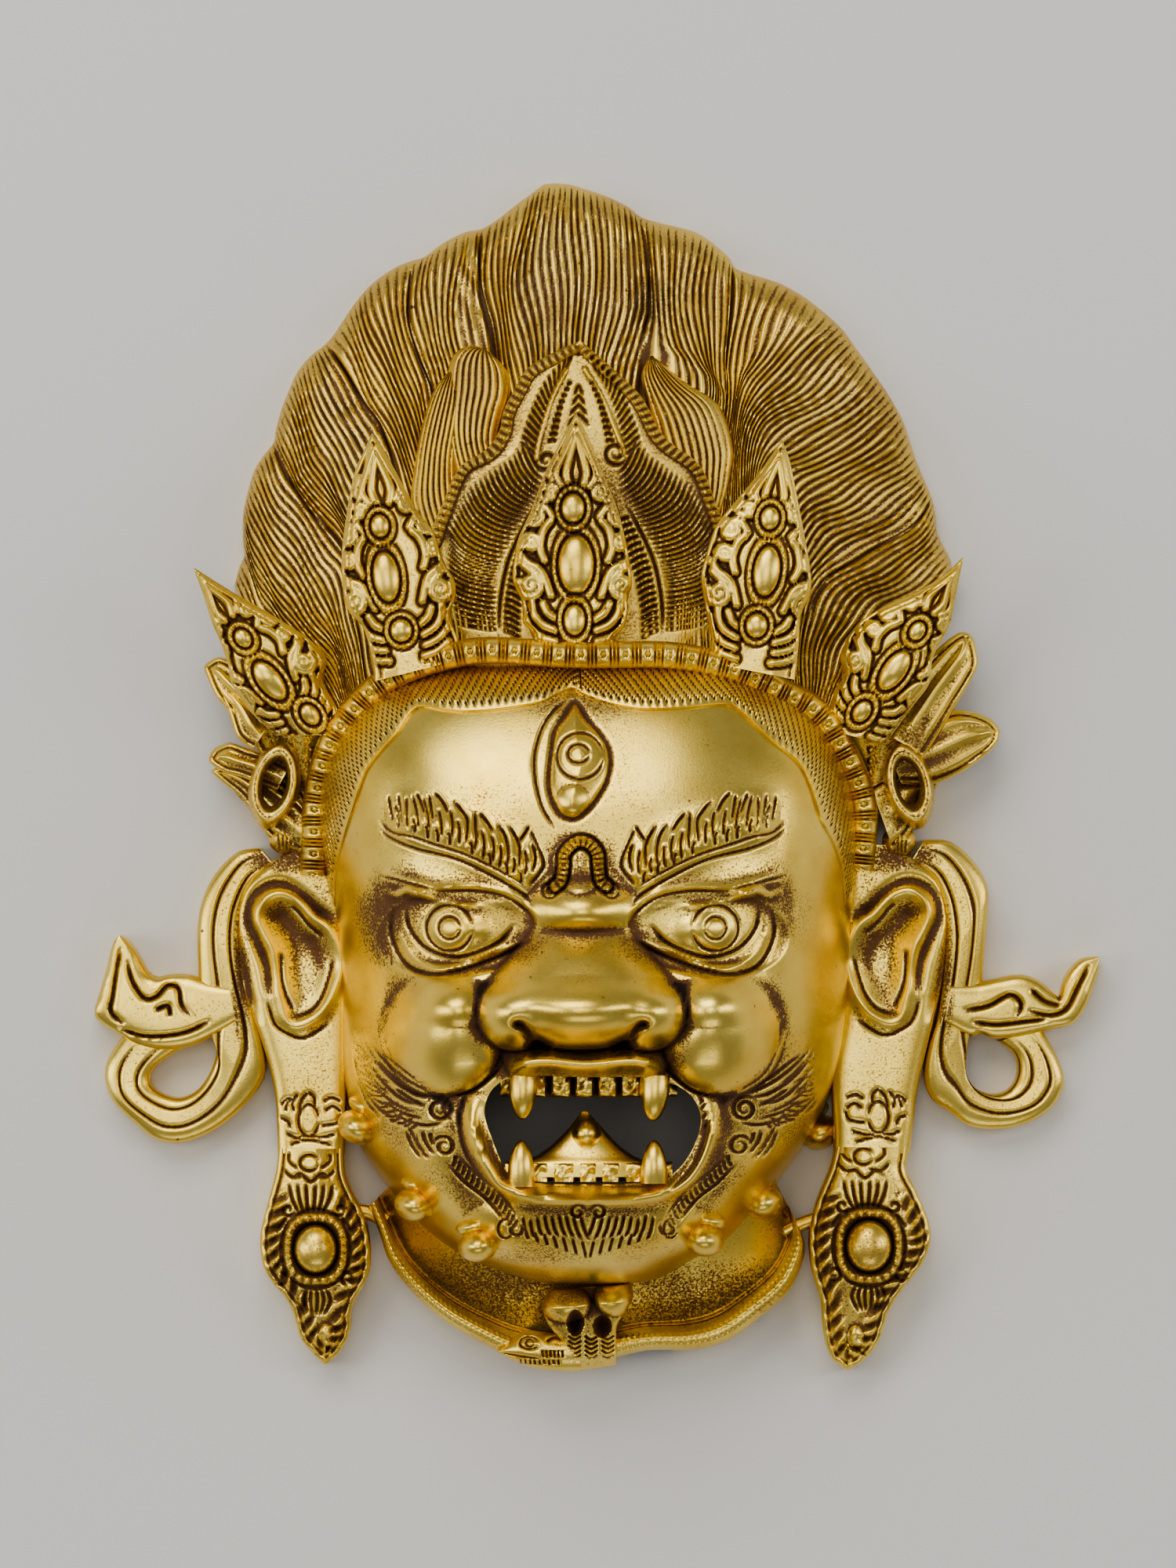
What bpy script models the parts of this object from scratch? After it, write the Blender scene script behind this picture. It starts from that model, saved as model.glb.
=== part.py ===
"""A wall mask of a wrathful three-eyed protector, cast in brass as one hollow piece.

The mask lies on its back: +Z is the way the face looks, +Y runs to the tip of the hair and
+X to the right of someone who faces it. Every outline is drawn on squared paper laid over
the front, x to the right and y down, and every height above the flat back rim is in
millimetres of the mask at its drawn size.
"""

import math

import bmesh
import bpy
import numpy as np
from mathutils import Matrix

# Driving dimensions, in metres
mask_height = 0.305
face_wall = 0.003
hair_wall = 0.003
leaf_thickness = 0.0032
crown_bar_width = 0.0068
hair_form_depth = 0.005

# The squared paper and the millimetre of the drawn mask
squares_tall = 1525.0
squares_per_mm = 5.0
paper_middle = (761.5, 988.5)
square = mask_height / squares_tall
mm = squares_per_mm * square

# Every piece reaches this far below the back rim, in mm, and one flat cut then trims them all
spare = 2.0

# A plate as deep as this reaches down to the back rim from any height
reach_back = mask_height

# Facets that turn less than this from their neighbour are one flat face
flat_angle_deg = 0.3


# Lines and fields of the drawing

def curve(points, steps=6, closed=False):
    """A smooth line through the points, as rows of x and y."""
    p = np.array(points, dtype=float)
    count = len(p)
    rows = []
    for i in range(count if closed else count - 1):
        if closed:
            a, b, c, d = (p[(i + k - 1) % count] for k in range(4))
        else:
            a, b, c, d = p[max(i - 1, 0)], p[i], p[i + 1], p[min(i + 2, count - 1)]
        for u in np.linspace(0.0, 1.0, steps, endpoint=False):
            rows.append(0.5 * (2 * b + (c - a) * u + (2 * a - 5 * b + 4 * c - d) * u ** 2
                               + (3 * b - a - 3 * c + d) * u ** 3))
    if not closed:
        rows.append(p[-1])
    return np.array(rows)


def along(path, share):
    """Points at the given shares of a line's length."""
    steps = np.hypot(*np.diff(path, axis=0).T)
    marks = np.concatenate([[0.0], np.cumsum(steps)])
    marks /= marks[-1]
    return np.interp(share, marks, path[:, 0]), np.interp(share, marks, path[:, 1])


def share_at(path, point):
    """How far along a line one of its points lies, from 0 to 1."""
    steps = np.hypot(*np.diff(path, axis=0).T)
    marks = np.concatenate([[0.0], np.cumsum(steps)])
    return marks[np.argmin(np.hypot(*(path - point).T))] / marks[-1]


def nearest(x, y, path):
    """Distance to a line, and how far along it the nearest point lies, from 0 to 1."""
    distance = np.full(np.shape(x), 1e9)
    share = np.zeros(np.shape(x))
    for i in range(len(path) - 1):
        ax, ay = path[i]
        dx, dy = path[i + 1] - path[i]
        u = np.clip(((x - ax) * dx + (y - ay) * dy) / (dx * dx + dy * dy + 1e-9), 0.0, 1.0)
        away = np.hypot(x - ax - u * dx, y - ay - u * dy)
        closer = away < distance
        distance = np.where(closer, away, distance)
        share = np.where(closer, (i + u) / (len(path) - 1), share)
    return distance, share


def beyond(x, y, outline):
    """Distance from a closed outline, positive outside it and negative inside."""
    distance, share = nearest(x, y, outline)
    crossings = np.zeros(np.shape(x), dtype=int)
    for (ax, ay), (bx, by) in zip(outline, outline[1:]):
        between = (ay > y) != (by > y)
        crossings += between & (x < (bx - ax) * (y - ay) / (by - ay + 1e-9) + ax)
    return np.where(crossings % 2 == 1, -distance, distance)


def boss(x, y, place, radii, high, power=1.0, turn=0.0):
    """A rounded lump on an ellipse; a power of 0.5 is a ball, and 2 fades out softly."""
    c, s = math.cos(math.radians(turn)), math.sin(math.radians(turn))
    u = ((x - place[0]) * c + (y - place[1]) * s) / radii[0]
    v = ((y - place[1]) * c - (x - place[0]) * s) / radii[1]
    return high * np.clip(1.0 - u * u - v * v, 0.0, None) ** power


def ridge(x, y, path, width, high):
    """A soft ridge along a line, or a groove where high is negative."""
    distance, share = nearest(x, y, path)
    ends = np.clip(np.minimum(share, 1.0 - share) * 8.0, 0.0, 1.0)
    return high * ends * np.exp(-(distance / width) ** 2)


def ease(low, high, value):
    """0 below low, 1 above high, and a smooth step between."""
    u = np.clip((value - low) / (high - low), 0.0, 1.0)
    return u * u * (3.0 - 2.0 * u)


def softer_top(a, b, soft):
    """The higher of two surfaces, with their crease rounded."""
    return 0.5 * (a + b + np.sqrt((a - b) ** 2 + soft ** 2))


def mirrored(points, axis):
    """The same line on the other side of an upright axis."""
    return [(2 * axis - px, py) for px, py in points]


# Pieces made from a grid

def plate(name, columns, rows, front, back, finer=2):
    """A closed plate with sides front(s, t) and back(s, t), s and t from 0 to 1.

    The back has columns by rows faces, and the carved front is finer in both directions.
    """
    bm = bmesh.new()
    borders = []
    for times, side in ((finer, front), (1, back)):
        grid = bmesh.ops.create_grid(bm, x_segments=columns * times, y_segments=rows * times, size=1.0)
        verts = grid["verts"]
        s = np.array([v.co.x for v in verts]) * 0.5 + 0.5
        t = np.array([v.co.y for v in verts]) * 0.5 + 0.5
        borders.append(border(verts, s, t, columns * times, rows * times))
        for v, x, y, z in zip(verts, *side(s, t)):
            v.co = on_model(x, y, z)
    fine, coarse = borders
    for k in range(len(coarse)):
        reach = [fine[(k * finer + i) % len(fine)] for i in range(finer + 1)]
        bm.faces.new([coarse[(k + 1) % len(coarse)], coarse[k]] + reach)
    return finished(name, bm)


def slim(obj, facets):
    """Fewer facets where a stretch is even, and as many as there are where it is carved."""
    count = sum(len(face.vertices) - 2 for face in obj.data.polygons)
    fewer = obj.modifiers.new("fewer_facets", "DECIMATE")
    fewer.ratio = min(1.0, facets / count)
    return obj


def border(verts, s, t, columns, rows):
    """The grid's outer vertices, in order round its edge."""
    spot = {(round(a * columns), round(b * rows)): v for v, a, b in zip(verts, s, t)}
    walk = [(i, 0) for i in range(columns)] + [(columns, j) for j in range(rows)]
    walk += [(i, rows) for i in range(columns, 0, -1)] + [(0, j) for j in range(rows, 0, -1)]
    return [spot[step] for step in walk]


def on_model(x, y, z):
    """A point of the drawing, in metres on the model."""
    return ((x - paper_middle[0]) * square, (paper_middle[1] - y) * square, z * mm)


def finished(name, bm):
    """The closed mesh as an object, with its faces pointing out."""
    bmesh.ops.recalc_face_normals(bm, faces=bm.faces[:])
    if bm.calc_volume(signed=True) < 0.0:
        bmesh.ops.reverse_faces(bm, faces=bm.faces[:])
    mesh = bpy.data.meshes.new(name)
    bm.to_mesh(mesh)
    bm.free()
    obj = bpy.data.objects.new(name, mesh)
    bpy.context.scene.collection.objects.link(obj)
    return obj


def lump(name, place, height, radii, rise, lean=(0.0, 0.0)):
    """A peg or bead: a low ball, stretched to its radii and rise and leaning to its tip."""
    bm = bmesh.new()
    bmesh.ops.create_uvsphere(bm, u_segments=8, v_segments=5, radius=1.0)
    for v in bm.verts:
        x = place[0] + v.co.x * radii[0] + lean[0] * max(v.co.z, 0.0)
        y = place[1] + v.co.y * radii[1] + lean[1] * max(v.co.z, 0.0)
        v.co = on_model(x, y, height + rise * v.co.z)
    return finished(name, bm)


def bar(name, path, heights, width, depth, sides=8, steps=24):
    """A round-sided bar swept along a line of the drawing, with closed ends."""
    share = np.linspace(0.0, 1.0, steps)
    x, y = along(path, share)
    z = np.interp(share, np.linspace(0.0, 1.0, len(heights)), heights)
    dx, dy = np.gradient(x), np.gradient(y)
    length = np.hypot(dx, dy)
    bm = bmesh.new()
    rings = []
    for i in range(steps):
        ring = []
        for k in range(sides):
            turn = 2 * math.pi * (k + 0.5) / sides
            out = 0.5 * width * math.cos(turn)
            px = x[i] - dy[i] / length[i] * out
            py = y[i] + dx[i] / length[i] * out
            ring.append(bm.verts.new(on_model(px, py, z[i] + 0.5 * depth * math.sin(turn))))
        rings.append(ring)
    for a, b in zip(rings, rings[1:]):
        for k in range(sides):
            bm.faces.new((a[k], a[(k + 1) % sides], b[(k + 1) % sides], b[k]))
    bm.faces.new(rings[0])
    bm.faces.new(rings[-1])
    return finished(name, bm)


# The face: a deep rounded shell, open at the back

face_top, face_bottom = 835.0, 1642.0
face_axis = 743.0
slack = 12.0
left_edge = [(835, 600), (850, 545), (870, 500), (900, 456), (950, 420), (1000, 404), (1060, 398),
             (1110, 402), (1145, 424), (1250, 431), (1350, 432), (1400, 438), (1460, 455), (1510, 487),
             (1560, 528), (1600, 580), (1625, 640), (1642, 700)]
right_edge = [(835, 890), (850, 945), (870, 988), (900, 1030), (950, 1066), (1000, 1088), (1060, 1100),
              (1110, 1101), (1145, 1092), (1250, 1088), (1320, 1082), (1380, 1068), (1430, 1046), (1480, 1016),
              (1530, 978), (1580, 935), (1610, 885), (1630, 850), (1642, 800)]
crest = [(835, 24), (840, 38), (850, 45), (870, 50), (910, 57), (980, 64), (1060, 69), (1150, 70), (1250, 69),
         (1350, 67), (1450, 65), (1540, 60), (1590, 53), (1620, 42), (1636, 26), (1642, -spare)]
side_foot = [(835, 24), (900, 20), (1000, 10), (1080, -spare), (1642, -spare)]

left_brow = curve([(495, 1052), (545, 1052), (600, 1075), (650, 1105), (690, 1138)])
right_brow = curve(mirrored([(495, 1052), (545, 1052), (600, 1075), (650, 1105), (690, 1138)], face_axis))
left_upper_lid = curve([(487, 1120), (530, 1130), (575, 1145), (630, 1146), (680, 1178)])
right_upper_lid = curve(mirrored([(487, 1120), (530, 1130), (575, 1145), (630, 1146), (680, 1178)], face_axis))
left_lower_lid = curve([(505, 1178), (520, 1215), (560, 1238), (620, 1222), (672, 1196)])
right_lower_lid = curve(mirrored([(505, 1178), (520, 1215), (560, 1238), (620, 1222), (672, 1196)], face_axis))
nose_wrinkle = curve([(648, 1216), (690, 1188), (747, 1178), (800, 1188), (848, 1216)])
upper_lip = curve([(600, 1405), (640, 1372), (690, 1356), (750, 1352), (810, 1356), (860, 1374), (905, 1405)])
lower_lip = curve([(596, 1400), (592, 1435), (610, 1472), (645, 1502), (700, 1519), (755, 1520),
                   (815, 1517), (868, 1500), (902, 1466), (917, 1435), (908, 1402)])
mouth = curve([(640, 1388), (690, 1384), (750, 1384), (810, 1384), (868, 1390), (890, 1420), (878, 1462),
               (846, 1482), (750, 1480), (660, 1480), (632, 1458), (618, 1420)], 3, True)
bare_face = np.concatenate([curve([(424, 1160), (445, 1069), (462, 993), (505, 943), (536, 905), (600, 911),
                                   (690, 900), (733, 880), (790, 902), (860, 906), (922, 900), (972, 937),
                                   (1028, 980), (1050, 1046), (1084, 1160)]),
                            [(1200, 1200), (1200, 1700), (300, 1700), (300, 1200), (424, 1160)]])
fringe_mm = 3.0

# The mouth is cut from behind the lips to well in front of them
mouth_cut_mm = (10.0, 100.0)


def face_sides(y):
    """The left and right edges of the face on a row of the drawing."""
    left = np.interp(y, *zip(*left_edge))
    right = np.interp(y, *zip(*right_edge))
    return left, right


def face_height(x, y):
    """The front of the face: a dome with steep sides, then the features raised on it."""
    left, right = face_sides(y)
    across = np.clip(np.abs((x - 0.5 * (left + right)) / (0.5 * (right - left))), 0.0, 1.0)
    foot = np.interp(y, *zip(*side_foot))
    dome = foot + (np.interp(y, *zip(*crest)) - foot) * np.sqrt(1.0 - across ** 3.2)
    inside = 1.0 - ease(0.8, 1.0, across)
    return dome + inside * features(x, y)


def features(x, y):
    """Brows, eyes, nose, cheeks, mouth and chin, over the dome of the face."""
    high = np.zeros(np.shape(x))
    for side, brow, upper, lower in ((-1, left_brow, left_upper_lid, left_lower_lid),
                                     (1, right_brow, right_upper_lid, right_lower_lid)):
        eye_x = face_axis + side * 162
        high = high + ridge(x, y, brow, 26, 4.5)
        high = high - boss(x, y, (eye_x - side * 4, 1188), (124, 66), 9.0, 1.0, side * 6)
        high = np.maximum(high, -9.0 + boss(x, y, (eye_x, 1182), (74, 42), 11.0, 0.5))
        high = high + ridge(x, y, upper, 10, 4.0) + ridge(x, y, lower, 13, 4.0)
    high = high + boss(x, y, (738, 972), (52, 84), 3.4, 0.8)
    high = high + boss(x, y, (739, 1100), (36, 40), 3.4, 0.7)
    high = high + boss(x, y, (744, 1156), (64, 40), 8.0, 1.0)
    high = high + ridge(x, y, nose_wrinkle, 20, 5.0)
    high = softer_top(high, -6.0 + boss(x, y, (745, 1280), (122, 74), 26.0, 0.5), 1.5)
    high = softer_top(high, boss(x, y, (745, 1290), (82, 52), 25.0, 0.6), 2.0)
    for side in (-1, 1):
        high = softer_top(high, -5.0 + boss(x, y, (745 + side * 106, 1296), (40, 52), 22.0, 0.6), 1.5)
        high = high - boss(x, y, (745 + side * 60, 1326), (26, 16), 9.0, 0.8, side * -14)
        high = softer_top(high, -5.0 + boss(x, y, (745 + side * 176, 1316), (84, 72), 21.0, 0.5), 1.5)
    high = high + ridge(x, y, upper_lip, 15, 6.5) + ridge(x, y, lower_lip, 15, 6.0)
    high = high + boss(x, y, (748, 1572), (170, 70), 6.0, 1.0)
    return high + fringe_mm * ease(-5.0, 5.0, beyond(x, y, bare_face))


def sunk(height_at, x, y, wall):
    """The inner side of a wall: the outside sunk by a ball as thick as the wall."""
    reach = wall / square
    low = height_at(x, y) - wall / mm
    for turn in range(8):
        angle = math.pi * (turn + 0.5) / 4
        px, py = x + slack * math.cos(angle), y + slack * math.sin(angle)
        steep = height_at(px, py) < 0.6 * low
        low = np.where(steep, low, np.minimum(low, height_at(px, py) - wall / mm))
    for share in (0.5, 0.85, 1.0):
        drop = math.sqrt(1.0 - share * share) * wall / mm
        for turn in range(8):
            angle = math.pi * turn / 4
            px, py = x + reach * share * math.cos(angle), y + reach * share * math.sin(angle)
            low = np.minimum(low, height_at(px, py) - drop)
    return low


def eased_rows(t):
    """Rows drawn closer together towards both ends."""
    return 0.7 * t + 0.3 * (0.5 - 0.5 * np.cos(np.pi * t))


def face_front(s, t):
    y = face_bottom + (face_top - face_bottom) * eased_rows(t)
    left, right = face_sides(y)
    x = left + (right - left) * eased_rows(s)
    return x, y, face_height(x, y)


def face_back(s, t):
    inset = face_wall / square
    y = face_bottom - inset + (face_top - face_bottom + 2 * inset) * eased_rows(t)
    left, right = face_sides(y)
    x = left + inset + (right - left - 2 * inset) * eased_rows(s)
    floor = np.interp(y, *zip(*side_foot))
    edge = (s < 0.001) | (s > 0.999) | (t < 0.001) | (t > 0.999)
    return x, y, np.where(edge, floor, np.maximum(sunk(face_height, x, y, face_wall), floor))


def make_face():
    """The face shell, with the mouth cut right through it."""
    face = slim(plate("mask", 16, 20, face_front, face_back, 4), 2050)
    bm = bmesh.new()
    rim = [bm.verts.new(on_model(x, y, mouth_cut_mm[0])) for x, y in mouth]
    bm.faces.new(rim)
    grown = bmesh.ops.extrude_face_region(bm, geom=bm.faces[:])
    for v in grown["geom"]:
        if isinstance(v, bmesh.types.BMVert):
            v.co.z += (mouth_cut_mm[1] - mouth_cut_mm[0]) * mm
    return face, finished("mouth_cutter", bm)


# The hair: a fan of flame-like locks behind the crown, a hollow shell

hair_outline = curve([(296, 745), (304, 720), (302, 675), (304, 640), (313, 606), (330, 576), (343, 560),
                      (349, 528), (376, 464), (410, 432), (456, 368), (498, 334), (560, 303), (632, 270),
                      (672, 238), (705, 222), (764, 235), (835, 270), (888, 287), (930, 319), (945, 335),
                      (994, 350), (1048, 384), (1096, 434), (1140, 500), (1169, 562), (1194, 628),
                      (1200, 674), (1214, 706), (1220, 745)], 3)
hair_root = curve([(440, 990), (452, 950), (490, 905), (560, 868), (650, 852), (745, 848), (850, 852),
                   (940, 872), (1005, 905), (1045, 950), (1060, 990)], 4)
hair_rim_mm, hair_root_mm = 8.0, 29.0
lock_count = 9
hair_tip_share = share_at(hair_outline, (705, 222))


def hair_place(s, t):
    """The fan is ruled from its outline to its root; the middle column meets the hair's tip."""
    s = np.interp(s, [0.0, 0.5, 1.0], [0.0, hair_tip_share, 1.0])
    outer_x, outer_y = along(hair_outline, s)
    inner_x, inner_y = along(hair_root, s)
    bend = 26.0 * np.sin(np.pi * t) * np.sin(2 * np.pi * s) * -1.0
    return outer_x + (inner_x - outer_x) * t + bend, outer_y + (inner_y - outer_y) * t


def hair_height(s, t):
    """A rounded rim, a slope up to the crown, and a soft pad for each lock."""
    rim = hair_rim_mm * np.sqrt(1.0 - (1.0 - np.clip(t / 0.09, 0.0, 1.0)) ** 2)
    slope = (hair_root_mm - hair_rim_mm) * np.clip((t - 0.04) / 0.96, 0.0, 1.0) ** 0.85
    lock = np.abs(np.sin(np.pi * lock_count * (s - 0.035 * np.sin(np.pi * t) * (2 * s - 1))))
    return rim + slope + 2.2 * (np.sqrt(lock) - 0.7) * ease(0.0, 0.1, t) * (1.0 - ease(0.5, 0.9, t))


def hair_front(s, t):
    t = 1.0 - t
    t = t ** 1.35
    x, y = hair_place(s, t)
    return x, y, np.where(t < 0.0005, -spare, hair_height(s, t))


def hair_back(s, t):
    t = (1.0 - t) ** 1.35
    x, y = hair_place(s, t)
    middle_x, middle_y = hair_place(np.full(np.shape(s), 0.5), np.full(np.shape(s), 0.8))
    away = np.hypot(middle_x - x, middle_y - y)
    inset = hair_wall / square * (1.0 - t)
    x, y = x + (middle_x - x) / away * inset, y + (middle_y - y) / away * inset
    low = hair_height(s, np.minimum(t + 0.02, 1.0)) - hair_wall / mm * 1.1
    return x, y, np.where(t < 0.0005, -spare, low)


# Leaves, petals, locks and pendants: plates between two edges drawn from foot to tip

def blade(name, one, other, heights, thickness, relief, rows, facets):
    """A plate between its two edges: heights along it, and relief(x, y, across) on its front."""
    one, other = curve(one, 3), curve(other, 3)
    marks = np.linspace(0.0, 1.0, len(heights))

    def spot(s, t):
        ax, ay = along(one, t)
        bx, by = along(other, t)
        return ax + (bx - ax) * s, ay + (by - ay) * s

    def front(s, t):
        x, y = spot(s, t)
        return x, y, np.interp(t, marks, heights) + relief(x, y, 2.0 * s - 1.0)

    def back(s, t):
        x, y = spot(s, t)
        return x, y, np.maximum(np.interp(t, marks, heights) - thickness / mm, -0.8 * spare)

    return slim(plate(name, 2, rows, front, back, 4), facets)


def jewelled(stones):
    """The relief of a plate set with stones: each has its place, its radii and its turn."""
    def relief(x, y, across):
        high = np.zeros(np.shape(x))
        for place, radii, turn, rise in stones:
            high = np.maximum(high, boss(x, y, place, radii, rise, 0.5, turn))
        return 0.8 + high - 0.9 * across ** 4
    return relief


def rounded(x, y, across):
    """A petal's or a lock's round back."""
    return 2.4 - 3.2 * across ** 2


crown_leaves = {
    # edges from foot to tip, heights from foot to tip, stones
    "outer_left_leaf": (
        [(392, 1010), (356, 960), (318, 905), (293, 850), (284, 822), (272, 795), (262, 762), (249, 728)],
        [(466, 980), (440, 915), (412, 868), (418, 842), (398, 818), (355, 789), (305, 760), (251, 725)],
        (24, 28, 30, 32, 33),
        [((346, 869), (20, 34), -38, 3.2), ((312, 815), (15, 18), -38, 2.4), ((397, 912), (15, 19), -38, 2.4)]),
    "inner_left_leaf": (
        [(470, 915), (479, 851), (466, 803), (447, 781), (439, 739), (440, 691), (453, 612), (466, 580), (476, 558)],
        [(600, 880), (584, 812), (574, 787), (582, 765), (581, 742), (566, 717), (555, 682), (507, 605), (478, 556)],
        (46, 46, 45, 44),
        [((495, 738), (22, 38), -8, 3.2), ((487, 674), (16, 19), -8, 2.4), ((514, 806), (17, 18), -8, 2.4)]),
    "centre_leaf": (
        [(672, 860), (682, 812), (668, 796), (668, 773), (655, 744), (662, 689), (679, 652), (695, 608), (733, 533)],
        [(796, 860), (776, 817), (796, 801), (800, 780), (805, 750), (797, 689), (787, 652), (770, 610), (737, 532)],
        (52, 50, 49, 50),
        [((735, 723), (26, 42), 0, 3.2), ((731, 652), (17, 22), 0, 2.4), ((733, 792), (16, 21), 0, 2.4)]),
    "inner_right_leaf": (
        [(884, 885), (906, 819), (898, 774), (893, 739), (899, 711), (911, 675), (952, 624), (978, 590), (994, 566)],
        [(1016, 920), (1017, 819), (1019, 787), (1032, 755), (1030, 720), (1025, 691), (1013, 628),
         (996, 564)],
        (46, 46, 45, 44),
        [((976, 731), (22, 38), 8, 3.2), ((980, 664), (16, 19), 8, 2.4), ((963, 800), (17, 19), 8, 2.4)]),
    "outer_right_leaf": (
        [(1030, 990), (1062, 885), (1075, 862), (1071, 836), (1090, 800), (1121, 777), (1169, 755), (1225, 714)],
        [(1100, 1010), (1140, 945), (1184, 872), (1188, 840), (1203, 812), (1212, 790), (1217, 762), (1227, 712)],
        (24, 28, 30, 32, 33),
        [((1139, 856), (20, 34), 35, 3.2), ((1168, 806), (15, 18), 35, 2.4), ((1098, 908), (15, 19), 35, 2.4)]),
}

petals = {
    # edges from foot to tip, heights at the foot and the tip
    "left_temple": ([(404, 1120), (362, 1080), (352, 990), (356, 900)],
                    [(420, 1090), (418, 1040), (430, 980), (432, 930)], (12, 22)),
    "right_temple": ([(1100, 1120), (1082, 1040), (1070, 980), (1068, 930)],
                     [(1112, 1120), (1150, 1080), (1160, 990), (1152, 900)], (12, 22)),
    "upper_left_petal": ([(352, 1000), (300, 925), (276, 890), (262, 860), (259, 851)],
                         [(400, 930), (345, 880), (305, 850), (280, 838), (262, 846)], (19, 15)),
    "outer_left_petal": ([(352, 1000), (320, 955), (303, 938), (290, 907), (276, 880)],
                         [(400, 950), (345, 905), (320, 885), (292, 872), (278, 876)], (20, 16)),
    "low_left_petal": ([(372, 1030), (310, 992), (285, 985), (266, 972), (267, 961)],
                       [(390, 985), (340, 962), (315, 955), (292, 947), (272, 954)], (18, 12)),
    "left_side_petal": ([(390, 1100), (345, 1070), (326, 1046), (306, 1018), (282, 998), (268, 985)],
                        [(410, 1040), (370, 1000), (340, 978), (310, 966), (290, 964), (271, 974)], (15, 11)),
    "upper_right_petal": ([(1100, 950), (1150, 880), (1180, 845), (1205, 820), (1226, 806), (1238, 808)],
                          [(1160, 1000), (1205, 925), (1224, 893), (1238, 870), (1248, 846), (1243, 815)],
                          (19, 15)),
    "middle_right_petal": ([(1110, 960), (1170, 925), (1210, 908), (1235, 906), (1262, 915), (1275, 927)],
                           [(1130, 1020), (1190, 1000), (1222, 988), (1250, 970), (1272, 950), (1277, 933)],
                           (18, 12)),
    "low_right_petal": ([(1090, 1010), (1140, 985), (1165, 985), (1185, 995), (1196, 1000)],
                        [(1110, 1100), (1160, 1064), (1170, 1044), (1176, 1026), (1190, 1009), (1197, 1004)],
                        (16, 12)),
}

# Forms that stand on the slope of the hair: edges from foot to tip, heights at the foot and the tip
hair_forms = {
    "pointed_panel": ([(600, 870), (560, 760), (549, 690), (586, 597), (637, 550), (657, 496), (704, 451),
                       (738, 437)],
                      [(880, 870), (915, 760), (929, 690), (893, 595), (840, 548), (816, 504), (771, 461),
                       (742, 437)],
                      (26.5, 21.5)),
    "left_lock": ([(562, 600), (566, 545), (570, 490), (575, 458), (591, 442), (608, 441)],
                  [(634, 600), (633, 563), (642, 530), (651, 503), (648, 474), (625, 449)], (20.0, 17.0)),
    "right_lock": ([(850, 660), (840, 590), (833, 547), (822, 505), (818, 476), (829, 454)],
                   [(930, 660), (932, 607), (935, 568), (917, 516), (875, 487), (833, 453)], (21.5, 17.0)),
}

pendants = {
    # edges from the lobe to the tip, heights along it, stone and seed
    "left_pendant": (
        [(354, 1440), (350, 1500), (338, 1545), (331, 1579), (334, 1613), (344, 1634), (372, 1673), (384, 1712),
         (412, 1743)],
        [(440, 1440), (440, 1500), (463, 1550), (471, 1586), (471, 1618), (463, 1642), (447, 1676), (440, 1715),
         (416, 1744)],
        (13, 12.5, 13, 11.5, 8.5), [((402, 1596), (30, 34), 0, 4.6), ((416, 1704), (14, 18), 0, 2.4)]),
    "right_pendant": (
        [(1070, 1430), (1058, 1495), (1042, 1535), (1033, 1574), (1035, 1615), (1048, 1662), (1054, 1715),
         (1080, 1750)],
        [(1166, 1430), (1157, 1495), (1184, 1555), (1188, 1584), (1176, 1615), (1134, 1676), (1118, 1721),
         (1084, 1751)],
        (13, 12.5, 13, 11.5, 8.5), [((1109, 1591), (32, 36), 0, 4.6), ((1092, 1706), (15, 19), 0, 2.4)]),
}
crown_path = curve([(400, 1116), (401, 1045), (410, 985), (430, 940), (470, 888), (540, 848), (630, 834),
                    (732, 836), (850, 842), (950, 866), (1030, 902), (1078, 962), (1100, 1040), (1099, 1108)])


def make_crown():
    """The bar round the forehead and the five leaves on it."""
    pieces = [bar("crown_bar", crown_path, (16, 20, 30, 42, 50, 53, 50, 42, 30, 20, 16),
                  crown_bar_width / square, 1.5 * crown_bar_width / mm, 6, 22)]
    for name, (one, other, heights, stones) in crown_leaves.items():
        pieces.append(blade(name, one, other, heights, leaf_thickness, jewelled(stones), 5, 150))
    for name, (one, other, heights) in petals.items():
        pieces.append(blade(name, one, other, heights, reach_back, rounded, 2, 30))
    for name, (one, other, heights) in hair_forms.items():
        pieces.append(blade(name, one, other, heights, hair_form_depth, rounded, 3, 50))
    return pieces


# Ears, ribbons and the hollow loops in front of the temples

left_ear_edges = [(1085, 372, 432), (1110, 322, 434), (1150, 300, 436), (1200, 296, 439), (1260, 304, 443),
                  (1310, 326, 446), (1360, 344, 449), (1400, 350, 447), (1440, 352, 440), (1470, 354, 438)]
right_ear_edges = [(1085, 1078, 1148), (1110, 1079, 1196), (1150, 1080, 1212), (1200, 1080, 1214),
                   (1260, 1080, 1206), (1310, 1076, 1190), (1360, 1066, 1178), (1400, 1062, 1172),
                   (1440, 1064, 1168), (1470, 1064, 1164)]
ear_plate_mm = 14.0

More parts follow.
